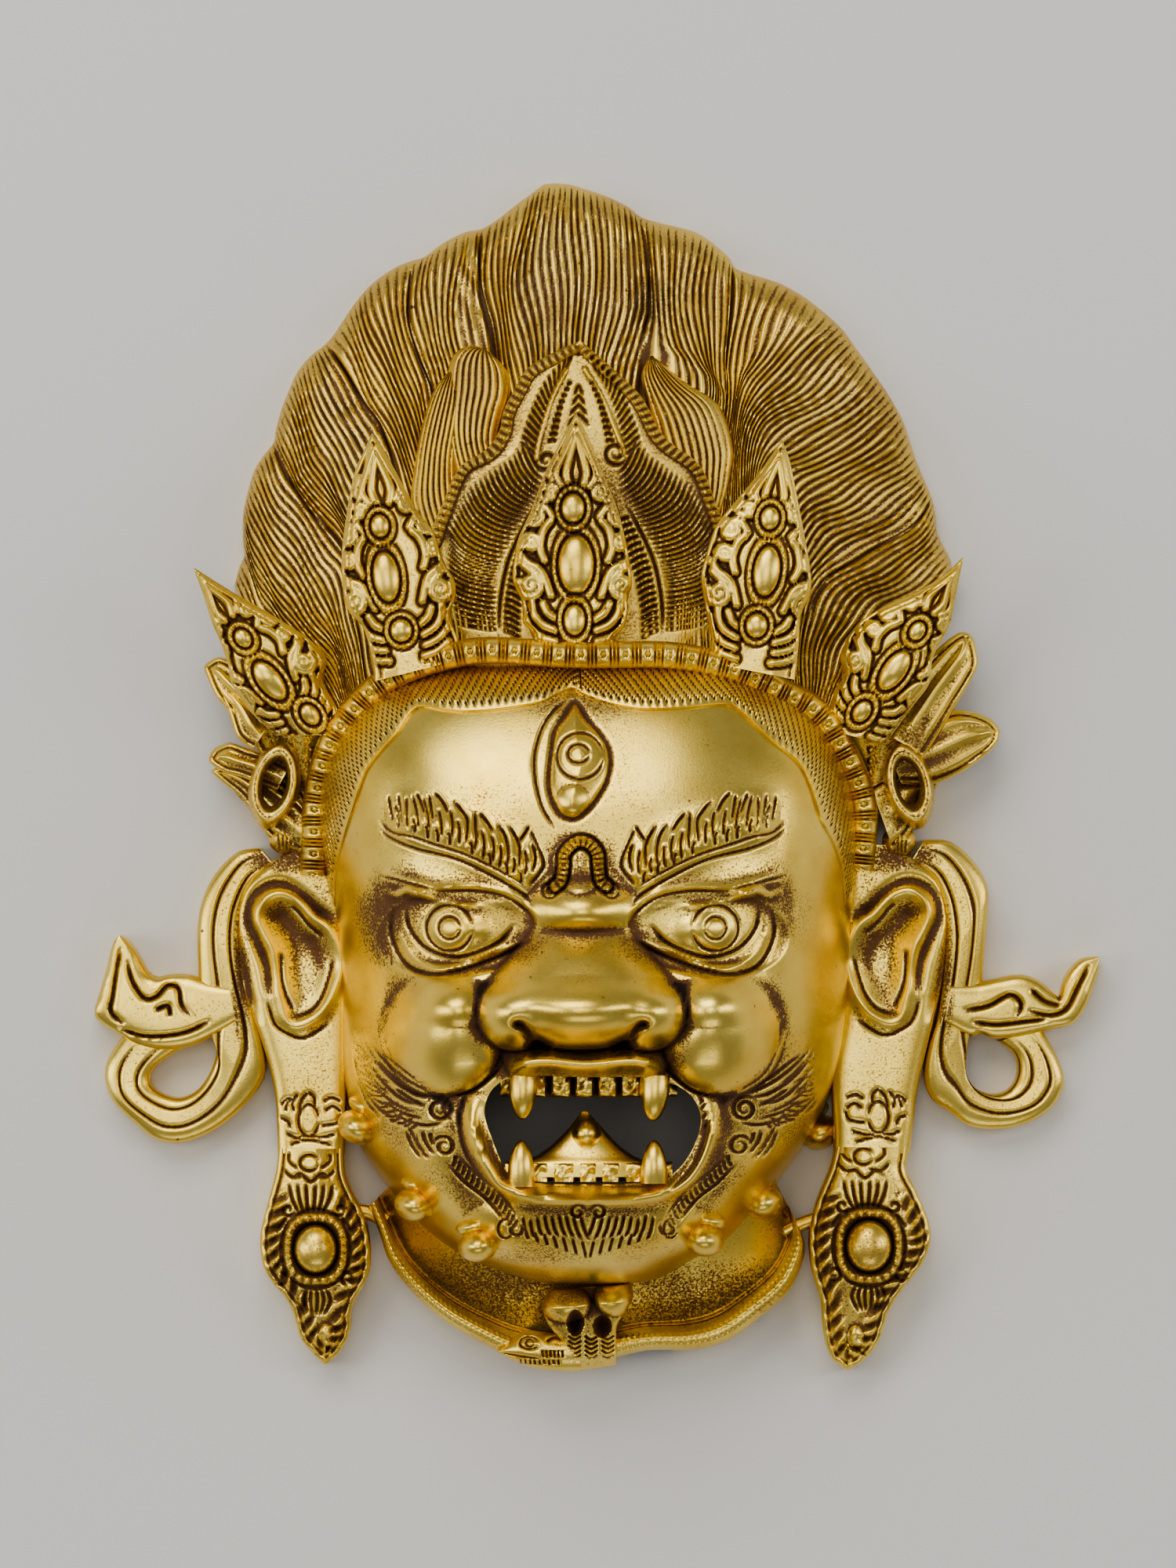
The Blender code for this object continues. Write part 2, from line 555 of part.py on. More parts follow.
ribbons = {
    # edges from the ear to the tip, heights along the band
    "left_ribbon": (
        [(330, 1082), (301, 1087), (272, 1116), (256, 1150), (250, 1188), (251, 1240), (262, 1308), (274, 1343),
         (266, 1369), (249, 1392), (226, 1402), (200, 1394), (189, 1380), (195, 1363), (215, 1348), (245, 1330)],
        [(352, 1108), (334, 1134), (323, 1168), (318, 1204), (322, 1250), (334, 1318), (338, 1350), (336, 1374),
         (322, 1398), (295, 1426), (261, 1449), (226, 1460), (195, 1455), (172, 1437), (143, 1409), (132, 1383),
         (132, 1362), (140, 1343), (160, 1316)], (12, 12, 11.5, 10, 9)),
    "left_tail": (
        [(290, 1258), (262, 1252), (238, 1244), (198, 1247), (186, 1239), (172, 1214), (160, 1199), (151, 1194)],
        [(300, 1306), (272, 1322), (240, 1336), (205, 1340), (150, 1321), (129, 1308), (117, 1294), (123, 1272),
         (133, 1237), (149, 1195)], (12.5, 12, 10.5, 9)),
    "right_ribbon": (
        [(1180, 1072), (1212, 1073), (1241, 1096), (1260, 1128), (1262, 1159), (1254, 1254), (1238, 1318),
         (1227, 1343), (1228, 1366), (1241, 1386), (1264, 1397), (1284, 1394), (1297, 1380), (1300, 1360),
         (1293, 1343), (1272, 1326)],
        [(1160, 1104), (1190, 1125), (1204, 1160), (1207, 1200), (1196, 1300), (1184, 1340), (1180, 1375),
         (1190, 1403), (1212, 1419), (1241, 1439), (1284, 1442), (1318, 1432), (1344, 1415), (1357, 1394),
         (1360, 1377), (1353, 1354), (1341, 1331), (1326, 1308)], (12, 12, 11.5, 10, 9)),
    "right_tail": (
        [(1215, 1256), (1250, 1254), (1278, 1248), (1304, 1244), (1327, 1251), (1344, 1266), (1353, 1273),
         (1370, 1234), (1404, 1221)],
        [(1205, 1306), (1238, 1323), (1252, 1320), (1270, 1326), (1344, 1314), (1376, 1303), (1399, 1257),
         (1405, 1223)], (12.5, 12, 10.5, 9)),
}


def band(x, y, across):
    """A ribbon's front, rounded off towards both edges."""
    return -2.4 * across ** 4


def ear(name, edges, hollow):
    """An ear and its long lobe: a plate with a hollow and a fold round it."""
    rows_y, left, right = (np.array(column, dtype=float) for column in zip(*edges))

    def spot(s, t):
        y = rows_y[0] + (rows_y[-1] - rows_y[0]) * t
        x0, x1 = np.interp(y, rows_y, left), np.interp(y, rows_y, right)
        return x0 + (x1 - x0) * s, y

    def front(s, t):
        x, y = spot(s, t)
        dip = boss(x, y, hollow, (42, 76), 6.0, 0.7)
        fold = 2.0 * np.exp(-((np.hypot((x - hollow[0]) / 62, (y - hollow[1]) / 100) - 1.0) / 0.18) ** 2)
        return x, y, ear_plate_mm + fold - dip

    def back(s, t):
        x, y = spot(s, t)
        return x, y, np.full(np.shape(x), -0.9 * spare)

    return slim(plate(name, 3, 4, front, back, 4), 160)


def hollow_loop(name, place, inner, outer, high, turn, sides=10):
    """An almond-shaped loop of metal round a deep hollow."""
    bm = bmesh.new()
    rings = []
    c, s = math.cos(math.radians(turn)), math.sin(math.radians(turn))
    middle = [(a + b) / 2 for a, b in zip(inner, outer)]
    for radii, z in ((inner, -0.6 * spare), (inner, high - 3.0), (middle, high), (outer, high - 4.0),
                     (outer, -0.6 * spare)):
        ring = []
        for k in range(sides):
            angle = 2 * math.pi * k / sides
            u, v = radii[0] * math.cos(angle), radii[1] * math.sin(angle)
            ring.append(bm.verts.new(on_model(place[0] + u * c - v * s, place[1] + u * s + v * c, z)))
        rings.append(ring)
    for a, b in zip(rings, rings[1:] + rings[:1]):
        for k in range(sides):
            bm.faces.new((a[k], a[(k + 1) % sides], b[(k + 1) % sides], b[k]))
    return finished(name, bm)


def make_sides():
    """Ears, ribbons, loops and pendants on both sides."""
    pieces = [
        ear("left_ear", left_ear_edges, (384, 1226)),
        ear("right_ear", right_ear_edges, (1130, 1222)),
        hollow_loop("left_loop", (347, 993), (14, 28), (33, 57), 17.0, 12),
        hollow_loop("right_loop", (1161, 993), (13, 26), (32, 56), 17.0, -14),
        lump("left_low_petal", (363, 1072), 8.0, (28, 26), 10.0),
        lump("right_low_petal", (1148, 1073), 8.0, (28, 26), 10.0),
    ]
    for name, (one, other, heights) in ribbons.items():
        rows = len(one) - 3
        pieces.append(blade(name, one, other, heights, reach_back, band, rows, 13 * rows))
    for name, (one, other, heights, stones) in pendants.items():
        pieces.append(blade(name, one, other, heights, reach_back, jewelled(stones), 6, 170))
    return pieces


# The neck: a bowl under the chin with a snake lying round its rim

neck_rim = curve([(464, 1548), (474, 1590), (494, 1638), (524, 1676), (568, 1707), (630, 1738), (700, 1750),
                  (760, 1750), (830, 1736), (910, 1724), (966, 1698), (1004, 1660), (1026, 1620),
                  (1030, 1585), (1016, 1558)])
chin_line = curve([(512, 1500), (540, 1540), (580, 1575), (640, 1600), (700, 1612), (760, 1614),
                   (820, 1606), (880, 1590), (930, 1560), (965, 1520), (985, 1500)])
neck_rim_mm, neck_bowl_mm, neck_wall = 18.0, 9.0, 0.003
neck_depth_squares = 110.0


def neck_place(s, t):
    rim_x, rim_y = along(neck_rim, s)
    chin_x, chin_y = along(chin_line, s)
    return rim_x + (chin_x - rim_x) * t, rim_y + (chin_y - rim_y) * t


def neck_height(t):
    """The snake's round back, then the bowl, which rises again towards the neck."""
    snake = neck_rim_mm - 9.0 * (np.clip(np.abs(t - 0.13) / 0.13, 0.0, 1.0)) ** 2
    bowl = neck_bowl_mm + 16.0 * np.clip(t - 0.25, 0.0, 1.0) ** 1.3
    return np.where(t < 0.26, snake, bowl)


def neck_front(s, t):
    t = 1.0 - t
    x, y = neck_place(s, t)
    return x, y, np.where(t < 0.001, -0.5 * spare, neck_height(t))


def neck_back(s, t):
    t = 1.0 - t
    inset = neck_wall / square / neck_depth_squares
    x, y = neck_place(s, np.maximum(t, inset))
    return x, y, np.where(t < 0.001, -0.5 * spare, neck_height(t) - neck_wall / mm)


def make_neck():
    """The bowl, the snake's two heads crossing in front, and the struts to the pendants."""
    return [
        slim(plate("neck", 9, 4, neck_front, neck_back), 320),
        lump("snake_coil", (748, 1690), 18.0, (42, 56), 15.0),
        lump("snake_head", (676, 1708), 15.0, (48, 22), 10.0),
        bar("left_strut", curve([(452, 1546), (470, 1549), (492, 1560)]), (7, 7, 7), 18, 6.0, 6, 4),
        bar("right_strut", curve([(1044, 1556), (1020, 1564), (1002, 1574)]), (7, 7, 7), 18, 6.0, 6, 4),
    ]


# The mouth's fittings and the pegs along the jaw

def fang(name, root, tip, height, width):
    """A curved fang, round in section, from the gum to its point."""
    bm = bmesh.new()
    bmesh.ops.create_cone(bm, cap_ends=True, segments=8, radius1=1.0, radius2=0.18, depth=2.0)
    for v in bm.verts:
        u = 0.5 * (v.co.z + 1.0)
        x = root[0] + (tip[0] - root[0]) * u + v.co.x * width * 0.5
        y = root[1] + (tip[1] - root[1]) * u
        v.co = on_model(x, y, height + v.co.y * width * 0.11 + 2.0 * u * (1.0 - u))
    return finished(name, bm)


def make_mouth():
    """Two rows of teeth, four fangs and the tongue."""
    pieces = [
        bar("upper_teeth", curve([(628, 1376), (690, 1376), (750, 1376), (810, 1376), (874, 1380)]),
            (60, 62, 62, 62, 60), 24, 8.0, 6, 6),
        bar("lower_teeth", curve([(630, 1490), (690, 1490), (750, 1492), (810, 1490), (870, 1488)]),
            (60, 62, 63, 62, 60), 24, 8.0, 6, 6),
        fang("left_upper_fang", (668, 1372), (667, 1421), 64.0, 30),
        fang("right_upper_fang", (836, 1372), (832, 1422), 64.0, 32),
        fang("left_lower_fang", (666, 1500), (666, 1448), 64.0, 30),
        fang("right_lower_fang", (833, 1500), (833, 1448), 64.0, 30),
        lump("tongue", (750, 1478), 52.0, (64, 60), 10.0),
    ]
    for name, place, lean in jaw_pegs:
        pieces.append(lump(name, place, peg_height(place), peg_radii, peg_mm, lean))
    return pieces


jaw_pegs = [
    ("left_peg_1", (460, 1434), (-8, 4)), ("left_peg_2", (534, 1536), (-4, 8)),
    ("left_peg_3", (609, 1586), (2, 8)), ("right_peg_1", (1044, 1446), (8, 4)),
    ("right_peg_2", (970, 1538), (4, 8)), ("right_peg_3", (898, 1580), (-2, 8)),
]


peg_radii, peg_mm = (20, 20), 9.0


def peg_height(place):
    """A peg sits on the jaw where it stands."""
    return float(face_height(np.array([place[0]]), np.array([place[1]]))[0])


def brass():
    """Polished brass, warm yellow, with a dull patina in between."""
    material = bpy.data.materials.new("brass")
    material.use_nodes = True
    shader = material.node_tree.nodes["Principled BSDF"]
    shader.inputs["Base Color"].default_value = (0.62, 0.41, 0.12, 1.0)
    shader.inputs["Metallic"].default_value = 1.0
    shader.inputs["Roughness"].default_value = 0.3
    return material


def back_cutter():
    """A slab behind the back rim, which trims every piece flat at height zero."""
    bm = bmesh.new()
    bmesh.ops.create_cube(bm, size=1.0)
    for v in bm.verts:
        v.co = (v.co.x * 2 * mask_height, v.co.y * 2 * mask_height, (v.co.z - 0.5) * 0.02)
    return finished("back_cutter", bm)


def centred(objects):
    """All the pieces are moved together, so that the middle of their outline is at zero."""
    points = np.array([v.co for obj in objects for v in obj.data.vertices])
    middle = 0.5 * (points.min(axis=0) + points.max(axis=0))
    for obj in objects:
        obj.data.transform(Matrix.Translation((-middle[0], -middle[1], 0.0)))


def cast_together(mask, pieces, cutter):
    """The mouth is cut, and everything cast with the face is joined to it."""
    centred([mask, cutter] + pieces)
    steps = [("DIFFERENCE", cutter)] + [("UNION", piece) for piece in pieces] + [("DIFFERENCE", back_cutter())]
    for operation, guide in steps:
        step = mask.modifiers.new(guide.name, "BOOLEAN")
        step.operation = operation
        step.solver = "MANIFOLD"
        step.object = guide
        guide.hide_render = True
        guide.display_type = "WIRE"
    flat = mask.modifiers.new("one_face_where_flat", "DECIMATE")
    flat.decimate_type = "DISSOLVE"
    flat.angle_limit = math.radians(flat_angle_deg)


def main():
    for obj in list(bpy.data.objects):
        bpy.data.objects.remove(obj, do_unlink=True)
    mask, cutter = make_face()
    hair = slim(plate("hair", 18, 4, hair_front, hair_back, 4), 520)
    pieces = [hair] + make_crown() + make_sides() + make_neck() + make_mouth()
    mask.data.materials.append(brass())
    cast_together(mask, pieces, cutter)


main()
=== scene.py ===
"""The brass deity mask as it looks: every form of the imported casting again, with its fine carving.

The real mask is one brass casting. It is drawn here in the squares of the same squared paper
as the solid, x to the right and y down, five squares to the millimetre, with heights in
millimetres above the flat back rim.
"""
import math

import bmesh
import bpy
import numpy as np
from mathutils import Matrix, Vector


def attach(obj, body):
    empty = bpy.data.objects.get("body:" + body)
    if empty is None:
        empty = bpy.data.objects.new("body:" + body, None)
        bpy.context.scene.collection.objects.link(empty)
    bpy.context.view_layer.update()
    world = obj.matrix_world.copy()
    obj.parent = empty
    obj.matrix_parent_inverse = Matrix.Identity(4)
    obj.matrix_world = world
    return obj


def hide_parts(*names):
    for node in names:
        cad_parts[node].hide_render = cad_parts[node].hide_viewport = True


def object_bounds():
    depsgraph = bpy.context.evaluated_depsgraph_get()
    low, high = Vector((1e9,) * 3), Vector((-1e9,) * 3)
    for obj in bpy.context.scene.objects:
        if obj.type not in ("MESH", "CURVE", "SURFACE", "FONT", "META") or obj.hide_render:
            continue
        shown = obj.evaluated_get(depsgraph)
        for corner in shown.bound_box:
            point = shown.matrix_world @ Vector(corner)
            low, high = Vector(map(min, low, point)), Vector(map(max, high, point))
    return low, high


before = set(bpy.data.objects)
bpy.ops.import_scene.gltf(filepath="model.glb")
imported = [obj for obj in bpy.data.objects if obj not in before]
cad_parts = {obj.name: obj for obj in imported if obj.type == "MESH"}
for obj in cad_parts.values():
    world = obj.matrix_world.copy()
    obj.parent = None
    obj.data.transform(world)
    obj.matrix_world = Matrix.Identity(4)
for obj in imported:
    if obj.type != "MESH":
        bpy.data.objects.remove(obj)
cad_low, cad_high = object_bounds()

# The face shell: cast hollow in brass, then chased with a graver and polished. Third eye,
# feathered brows, rolled lids, round cheeks, lips and whiskers all stand up from one dome.

mm = 0.001
squares_per_mm = 5.0
square = mm / squares_per_mm
paper_middle = (761.5, 988.5)
face_wall = 3.0


def curve(points, steps=8, closed=False):
    """A smooth line through the points, as rows of x and y."""
    p = np.array(points, dtype=float)
    count = len(p)
    rows = []
    for i in range(count if closed else count - 1):
        if closed:
            a, b, c, d = (p[(i + k - 1) % count] for k in range(4))
        else:
            a, b, c, d = p[max(i - 1, 0)], p[i], p[i + 1], p[min(i + 2, count - 1)]
        for u in np.linspace(0.0, 1.0, steps, endpoint=False):
            rows.append(0.5 * (2 * b + (c - a) * u + (2 * a - 5 * b + 4 * c - d) * u ** 2
                               + (3 * b - a - 3 * c + d) * u ** 3))
    rows.append(p[0] if closed else p[-1])
    return np.array(rows)


def along(path, share):
    """Points at the given shares of a line's length."""
    steps = np.hypot(*np.diff(path, axis=0).T)
    marks = np.concatenate([[0.0], np.cumsum(steps)]) / steps.sum()
    return np.interp(share, marks, path[:, 0]), np.interp(share, marks, path[:, 1])


def nearest(x, y, path):
    """Distance to a line, how far along it the nearest point lies, and on which side of it."""
    distance = np.full(np.shape(x), 1e9)
    share = np.zeros(np.shape(x))
    side = np.zeros(np.shape(x))
    lengths = np.hypot(*np.diff(path, axis=0).T)
    marks = np.concatenate([[0.0], np.cumsum(lengths)]) / lengths.sum()
    for i in range(len(path) - 1):
        ax, ay = path[i]
        dx, dy = path[i + 1] - path[i]
        u = np.clip(((x - ax) * dx + (y - ay) * dy) / (dx * dx + dy * dy + 1e-9), 0.0, 1.0)
        away = np.hypot(x - ax - u * dx, y - ay - u * dy)
        closer = away < distance
        distance = np.where(closer, away, distance)
        share = np.where(closer, marks[i] + (marks[i + 1] - marks[i]) * u, share)
        side = np.where(closer, np.sign(dx * (y - ay) - dy * (x - ax)), side)
    return distance, share, side


def inside(x, y, outline):
    """Distance within a closed outline, positive inside it and negative outside."""
    distance = nearest(x, y, outline)[0]
    crossings = np.zeros(np.shape(x), dtype=int)
    for (ax, ay), (bx, by) in zip(outline, outline[1:]):
        between = (ay > y) != (by > y)
        crossings += between & (x < (bx - ax) * (y - ay) / (by - ay + 1e-9) + ax)
    return np.where(crossings % 2 == 1, distance, -distance)


def local(x, y, path, reach, work):
    """Does the work only for the points within reach of a line, and gives 0 elsewhere."""
    low, high = path.min(axis=0) - reach, path.max(axis=0) + reach
    near = (x > low[0]) & (x < high[0]) & (y > low[1]) & (y < high[1])
    out = np.zeros(np.shape(x))
    if near.any():
        out[near] = work(x[near], y[near])
    return out


def boss(x, y, place, radii, high, power=1.0, turn=0.0):
    """A rounded lump on an ellipse; a power of 0.5 is a ball, and 2 fades out softly."""
    u, v = turned(x - place[0], y - place[1], -turn)
    return high * np.clip(1.0 - (u / radii[0]) ** 2 - (v / radii[1]) ** 2, 0.0, None) ** power


def ridge(x, y, path, width, high, fade=8.0):
    """A soft ridge along a line, or a groove where high is negative."""
    def work(px, py):
        distance, share = nearest(px, py, path)[:2]
        ends = np.clip(np.minimum(share, 1.0 - share) * fade, 0.0, 1.0)
        return high * ends * bell(distance, 0.0, width)
    return local(x, y, path, 3.0 * width, work)


def engraved(x, y, lines, width, depth, taper=5.0):
    """Graver lines: narrow grooves that run out at both ends."""
    low = np.zeros(np.shape(x))
    for line in lines:
        low = np.minimum(low, ridge(x, y, np.asarray(line), width, -depth, taper))
    return low


def spiral(place, radius, turns, start, way=1):
    """A line that winds in to its centre."""
    u = np.linspace(0.0, 1.0, int(14 * turns) + 2)
    angle = math.radians(start) + way * 2 * math.pi * turns * u
    reach = radius * (1.0 - 0.88 * u)
    return np.column_stack([place[0] + reach * np.cos(angle), place[1] + reach * np.sin(angle)])


def ring(place, radii):
    """A closed engraved ring."""
    angle = np.linspace(0.0, 2 * math.pi, 33)
    return np.column_stack([place[0] + radii[0] * np.cos(angle), place[1] + radii[1] * np.sin(angle)])


def ease(low, high, value):
    """0 below low, 1 above high, and a smooth step between."""
    u = np.clip((value - low) / (high - low), 0.0, 1.0)
    return u * u * (3.0 - 2.0 * u)


def bell(value, middle, width):
    """1 at the middle, fading out on both sides over about twice the width."""
    return np.exp(-((value - middle) / width) ** 2)


def round_over(u, power=2):
    """1 where u is 0, rounding down to 0 where u is 1."""
    return np.sqrt(np.clip(1.0 - u ** power, 0.0, None))


def spaced(t, values):
    """The value at a share t of a length, where the values stand evenly along it."""
    return np.interp(t, np.linspace(0.0, 1.0, len(values)), values)


def turned(u, v, degrees):
    """A step u, v turned by some degrees."""
    c, s = math.cos(math.radians(degrees)), math.sin(math.radians(degrees))
    return u * c - v * s, u * s + v * c


def softer_top(a, b, soft):
    """The higher of two surfaces, with their crease rounded."""
    return 0.5 * (a + b + np.sqrt((a - b) ** 2 + soft ** 2))


def flipped(lines, axis):
    """Lines on the other side of an upright axis."""
    return [np.column_stack([2 * axis - line[:, 0], line[:, 1]]) for line in lines]


def border(verts, columns, rows):
    """The grid's outer vertices, in order round its edge."""
    spot = {(round(v.co.x * columns), round(v.co.y * rows)): v for v in verts if v.is_boundary}
    walk = [(i, 0) for i in range(columns)] + [(columns, j) for j in range(rows)]
    walk += [(i, rows) for i in range(columns, 0, -1)] + [(0, j) for j in range(rows, 0, -1)]
    return [spot[step] for step in walk]


def refined(bm, front, zone):
    """The grid's faces where the carving is fine are cut in nine."""
    s, t = np.array([(v.co.x, v.co.y) for v in bm.verts]).T
    x, y = front(s, t)[:2]
    fine = {v for v, wanted in zip(bm.verts, zone(x, y)) if wanted}
    edges = [e for e in bm.edges if e.verts[0] in fine and e.verts[1] in fine and not e.is_boundary]
    bmesh.ops.subdivide_edges(bm, edges=edges, cuts=2, use_grid_fill=True)
    return bm.verts[:]


def plate(name, columns, rows, finer, front, back, zone=None):
    """A closed plate: a carved front(s, t), and a plain back(s, t) with fewer faces."""
    bm = bmesh.new()
    borders = []
    for times, side in ((finer, front), (1, back)):
        wide, tall = columns * times, rows * times
        verts = bmesh.ops.create_grid(bm, x_segments=wide, y_segments=tall, size=0.5)["verts"]
        bmesh.ops.translate(bm, verts=verts, vec=(0.5, 0.5, 0.0))
        if zone and side is front:
            verts = refined(bm, front, zone)
        borders.append(border(verts, wide, tall))
        s, t = np.array([(v.co.x, v.co.y) for v in verts]).T
        for v, point in zip(verts, on_model(*side(s, t))):
            v.co = point
    fine, coarse = borders
    for k in range(len(coarse)):
        reach = [fine[(k * finer + i) % len(fine)] for i in range(finer + 1)]
        bm.faces.new([coarse[(k + 1) % len(coarse)], coarse[k]] + reach)
    return made(name, bm)


def on_model(x, y, z):
    """Points of the drawing, in metres on the model, none of them outside the solid's box."""
    x = np.asarray(x, float)
    z = np.zeros(np.shape(x)) + z
    points = np.column_stack([(x - paper_middle[0]) * square, (paper_middle[1] - y) * square, z * mm])
    return np.clip(points, list(cad_low), list(cad_high))


def made(name, bm):
    """The closed mesh as an object, with its faces pointing out."""
    bmesh.ops.recalc_face_normals(bm, faces=bm.faces[:])
    if bm.calc_volume(signed=True) < 0.0:
        bmesh.ops.reverse_faces(bm, faces=bm.faces[:])
    mesh = bpy.data.meshes.new(name)
    bm.to_mesh(mesh)
    bm.free()
    obj = bpy.data.objects.new(name, mesh)
    bpy.context.scene.collection.objects.link(obj)
    return obj


# where brown patina was never polished off, and painted shade in creases, under the nose, cheeks and chin
# and between parts: middle, radii and strength
stain_and_shade_patches = [((482, 1172), (36, 70), 0.55), ((742, 1112), (66, 58), 0.36), ((520, 1150), (30, 60), 0.3),
          ((984, 1150), (30, 60), 0.3), ((668, 1205), (36, 24), 0.3), ((820, 1205), (36, 24), 0.3),
          ((610, 1300), (12, 66), 0.35), ((873, 1300), (12, 66), 0.35), ((530, 1400), (70, 70), 0.35),
          ((980, 1400), (70, 70), 0.35), ((746, 1345), (120, 16), 0.4), ((640, 1352), (16, 22), 0.5),
          ((858, 1352), (16, 22), 0.5), ((596, 1450), (28, 90), 0.3), ((906, 1450), (28, 90), 0.3),
          ((1018, 1160), (26, 60), 0.25), ((748, 1560), (110, 44), 0.25), ((600, 1500), (70, 50), 0.2),
          ((900, 1500), (70, 50), 0.2), ((735, 900), (90, 26), 0.3), ((738, 640), (170, 60), 0.2),
          ((408, 1180), (40, 60), 0.3), ((1106, 1176), (40, 60), 0.3), ((455, 1085), (14, 9), 0.35),
          ((308, 1240), (16, 110), 0.7), ((1206, 1240), (16, 110), 0.6), ((402, 1600), (74, 130), 0.32),
          ((1109, 1596), (80, 130), 0.32), ((740, 1690), (60, 56), 0.35), ((640, 1640), (170, 60), 0.3),
          ((900, 1650), (150, 50), 0.3), ((350, 1000), (70, 110), 0.4), ((1160, 1000), (70, 110), 0.4),
          ((830, 385), (34, 40), 0.3), ((355, 1095), (60, 24), 0.4), ((1150, 1095), (60, 24), 0.4)]
# how far, in millimetres, a hollow is compared with its surroundings and its grime spreads
fine_reach, broad_reach, grime_reach = 0.9, 3.2, 1.5
most_steps, most_grime_steps = 160, 90


def weathered_and_shaded(obj):
    """Each vertex keeps how far it lies below its surroundings, and how much grime and painted shade darken
    it.
    """
    mesh = obj.data
    mesh.shade_smooth()
    mesh.set_sharp_from_angle(angle=math.radians(50.0))
    count = len(mesh.vertices)
    place = np.empty(3 * count)
    normal = np.empty(3 * count)
    ends = np.empty(2 * len(mesh.edges), dtype=int)
    mesh.vertices.foreach_get("co", place)
    mesh.vertices.foreach_get("normal", normal)
    mesh.edges.foreach_get("vertices", ends)
    place = place.reshape(-1, 3) / mm
    normal = normal.reshape(-1, 3)
    one, two = ends.reshape(-1, 2).T
    lengths = np.linalg.norm(place[one] - place[two], axis=1)
    weight = 1.0 / np.maximum(lengths, 0.05)
    total = np.bincount(one, weight, count) + np.bincount(two, weight, count)

    def spread(values):
        """Each vertex moves most of the way to the mean of its neighbours."""
        met = np.bincount(one, weight * values[two], count) + np.bincount(two, weight * values[one], count)
        return 0.4 * values + 0.6 * met / total

    def steps_for(reach, most):
        """How many such moves carry a value as far as the reach."""
        return min(int(2.0 * (reach / np.median(lengths)) ** 2) + 1, most)

    def kept(label, values):
        """Writes one value a vertex, for the brass to read."""
        mesh.attributes.new(label, "FLOAT", "POINT").data.foreach_set("value", values.astype(np.float32))

    smooth = place.T.copy()
    done = 0
    for label, reach in (("recess_fine", fine_reach), ("recess_broad", broad_reach)):
        steps = steps_for(reach, most_steps)
        for step in range(steps - done):
            smooth = np.array([spread(axis) for axis in smooth])
        done = steps
        low = ((smooth.T - place) * normal).sum(axis=1)
        kept(label, low)
        if label == "recess_fine":
            grime = np.clip(low, 0.0, 0.5)
    for step in range(steps_for(grime_reach, most_grime_steps)):
        grime = spread(grime)
    x = place[:, 0] * squares_per_mm + paper_middle[0]
    y = paper_middle[1] - place[:, 1] * squares_per_mm
    # brown patina patches, and painted shade in creases, hollows, under things and between parts
    patina_and_painted_shade = sum(boss(x, y, middle, radii, strong, 0.8) for middle, radii, strong in stain_and_shade_patches)
    kept("stain_and_shade", 1.7 * grime + patina_and_painted_shade)


def cast(obj, material):
    """A stretch of the casting: it gets its brass, rides on the part and stands for the solid."""
    obj.data.materials.clear()
    obj.data.materials.append(material)
    weathered_and_shaded(obj)
    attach(obj, "root")
    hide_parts("mask")
    return obj


face_top, face_bottom, face_axis = 835.0, 1642.0, 743.0
# rows and columns of the face's two edges, and rows and heights of its crest and of its foot
left_edge = curve([(835, 600), (850, 545), (870, 500), (900, 456), (950, 420), (1000, 405), (1060, 402),
                   (1110, 409), (1160, 421), (1250, 431), (1350, 432), (1400, 438), (1460, 455), (1510, 487),
                   (1560, 528), (1600, 580), (1625, 640), (1642, 700)])
right_edge = curve([(835, 890), (850, 945), (870, 988), (900, 1030), (950, 1066), (1000, 1087), (1060, 1098),
                    (1110, 1098), (1160, 1092), (1250, 1088), (1320, 1082), (1380, 1068), (1430, 1046),
                    (1480, 1016), (1530, 978), (1580, 935), (1610, 885), (1630, 850), (1642, 800)])
crest = curve([(835, 24), (840, 38), (850, 45), (870, 50), (910, 57), (980, 64), (1060, 68.5), (1150, 70),
               (1250, 69), (1350, 67), (1450, 65), (1540, 60), (1590, 53), (1620, 42), (1636, 26),
               (1642, -2)])
side_foot = curve([(835, 24), (900, 20), (1000, 11), (1080, 1), (1160, -2), (1400, -2), (1642, -2)])
mouth = curve([(652, 1369), (690, 1367), (750, 1368), (810, 1368), (850, 1374), (880, 1392), (892, 1422),
               (882, 1458), (862, 1486), (836, 1500), (750, 1503), (668, 1500), (646, 1484), (631, 1450),
               (620, 1414), (628, 1386)], 6, True)

left_brow = curve([(495, 1050), (545, 1048), (600, 1070), (650, 1098), (684, 1128)])
brow_line = curve([(486, 1045), (504, 1061), (528, 1066), (552, 1074), (600, 1090), (647, 1113),
                   (676, 1131)])
under_brow = curve([(486, 1055), (504, 1069), (533, 1081), (584, 1094), (631, 1116), (671, 1140),
                    (679, 1155)])
brow_end = curve([(677, 1056), (686, 1076), (694, 1096), (692, 1108), (676, 1128)])
lid_fold = curve([(486, 1115), (515, 1122), (539, 1128), (563, 1134), (608, 1134), (646, 1141), (672, 1158),
                  (684, 1174)])
lid_edge = curve([(490, 1130), (507, 1138), (524, 1134), (555, 1145), (600, 1151), (635, 1150), (658, 1159),
                  (670, 1176)])
roll_outside = curve([(506, 1154), (502, 1190), (520, 1226), (552, 1239), (592, 1233), (644, 1214),
                      (682, 1192)])
roll_inside = curve([(521, 1153), (525, 1180), (545, 1205), (578, 1217), (607, 1213), (640, 1197),
                     (658, 1176)])
lower_roll = curve([(513, 1160), (513, 1188), (531, 1216), (562, 1228), (600, 1223), (642, 1206),
                    (670, 1186)])
third_eye = curve([(734, 897), (749, 918), (766, 938), (776, 956), (778, 976), (773, 998), (763, 1016),
                   (751, 1032), (734, 1044), (717, 1040), (707, 1026), (701, 1006), (701, 984), (704, 958),
                   (708, 934), (720, 914)], 5, True)
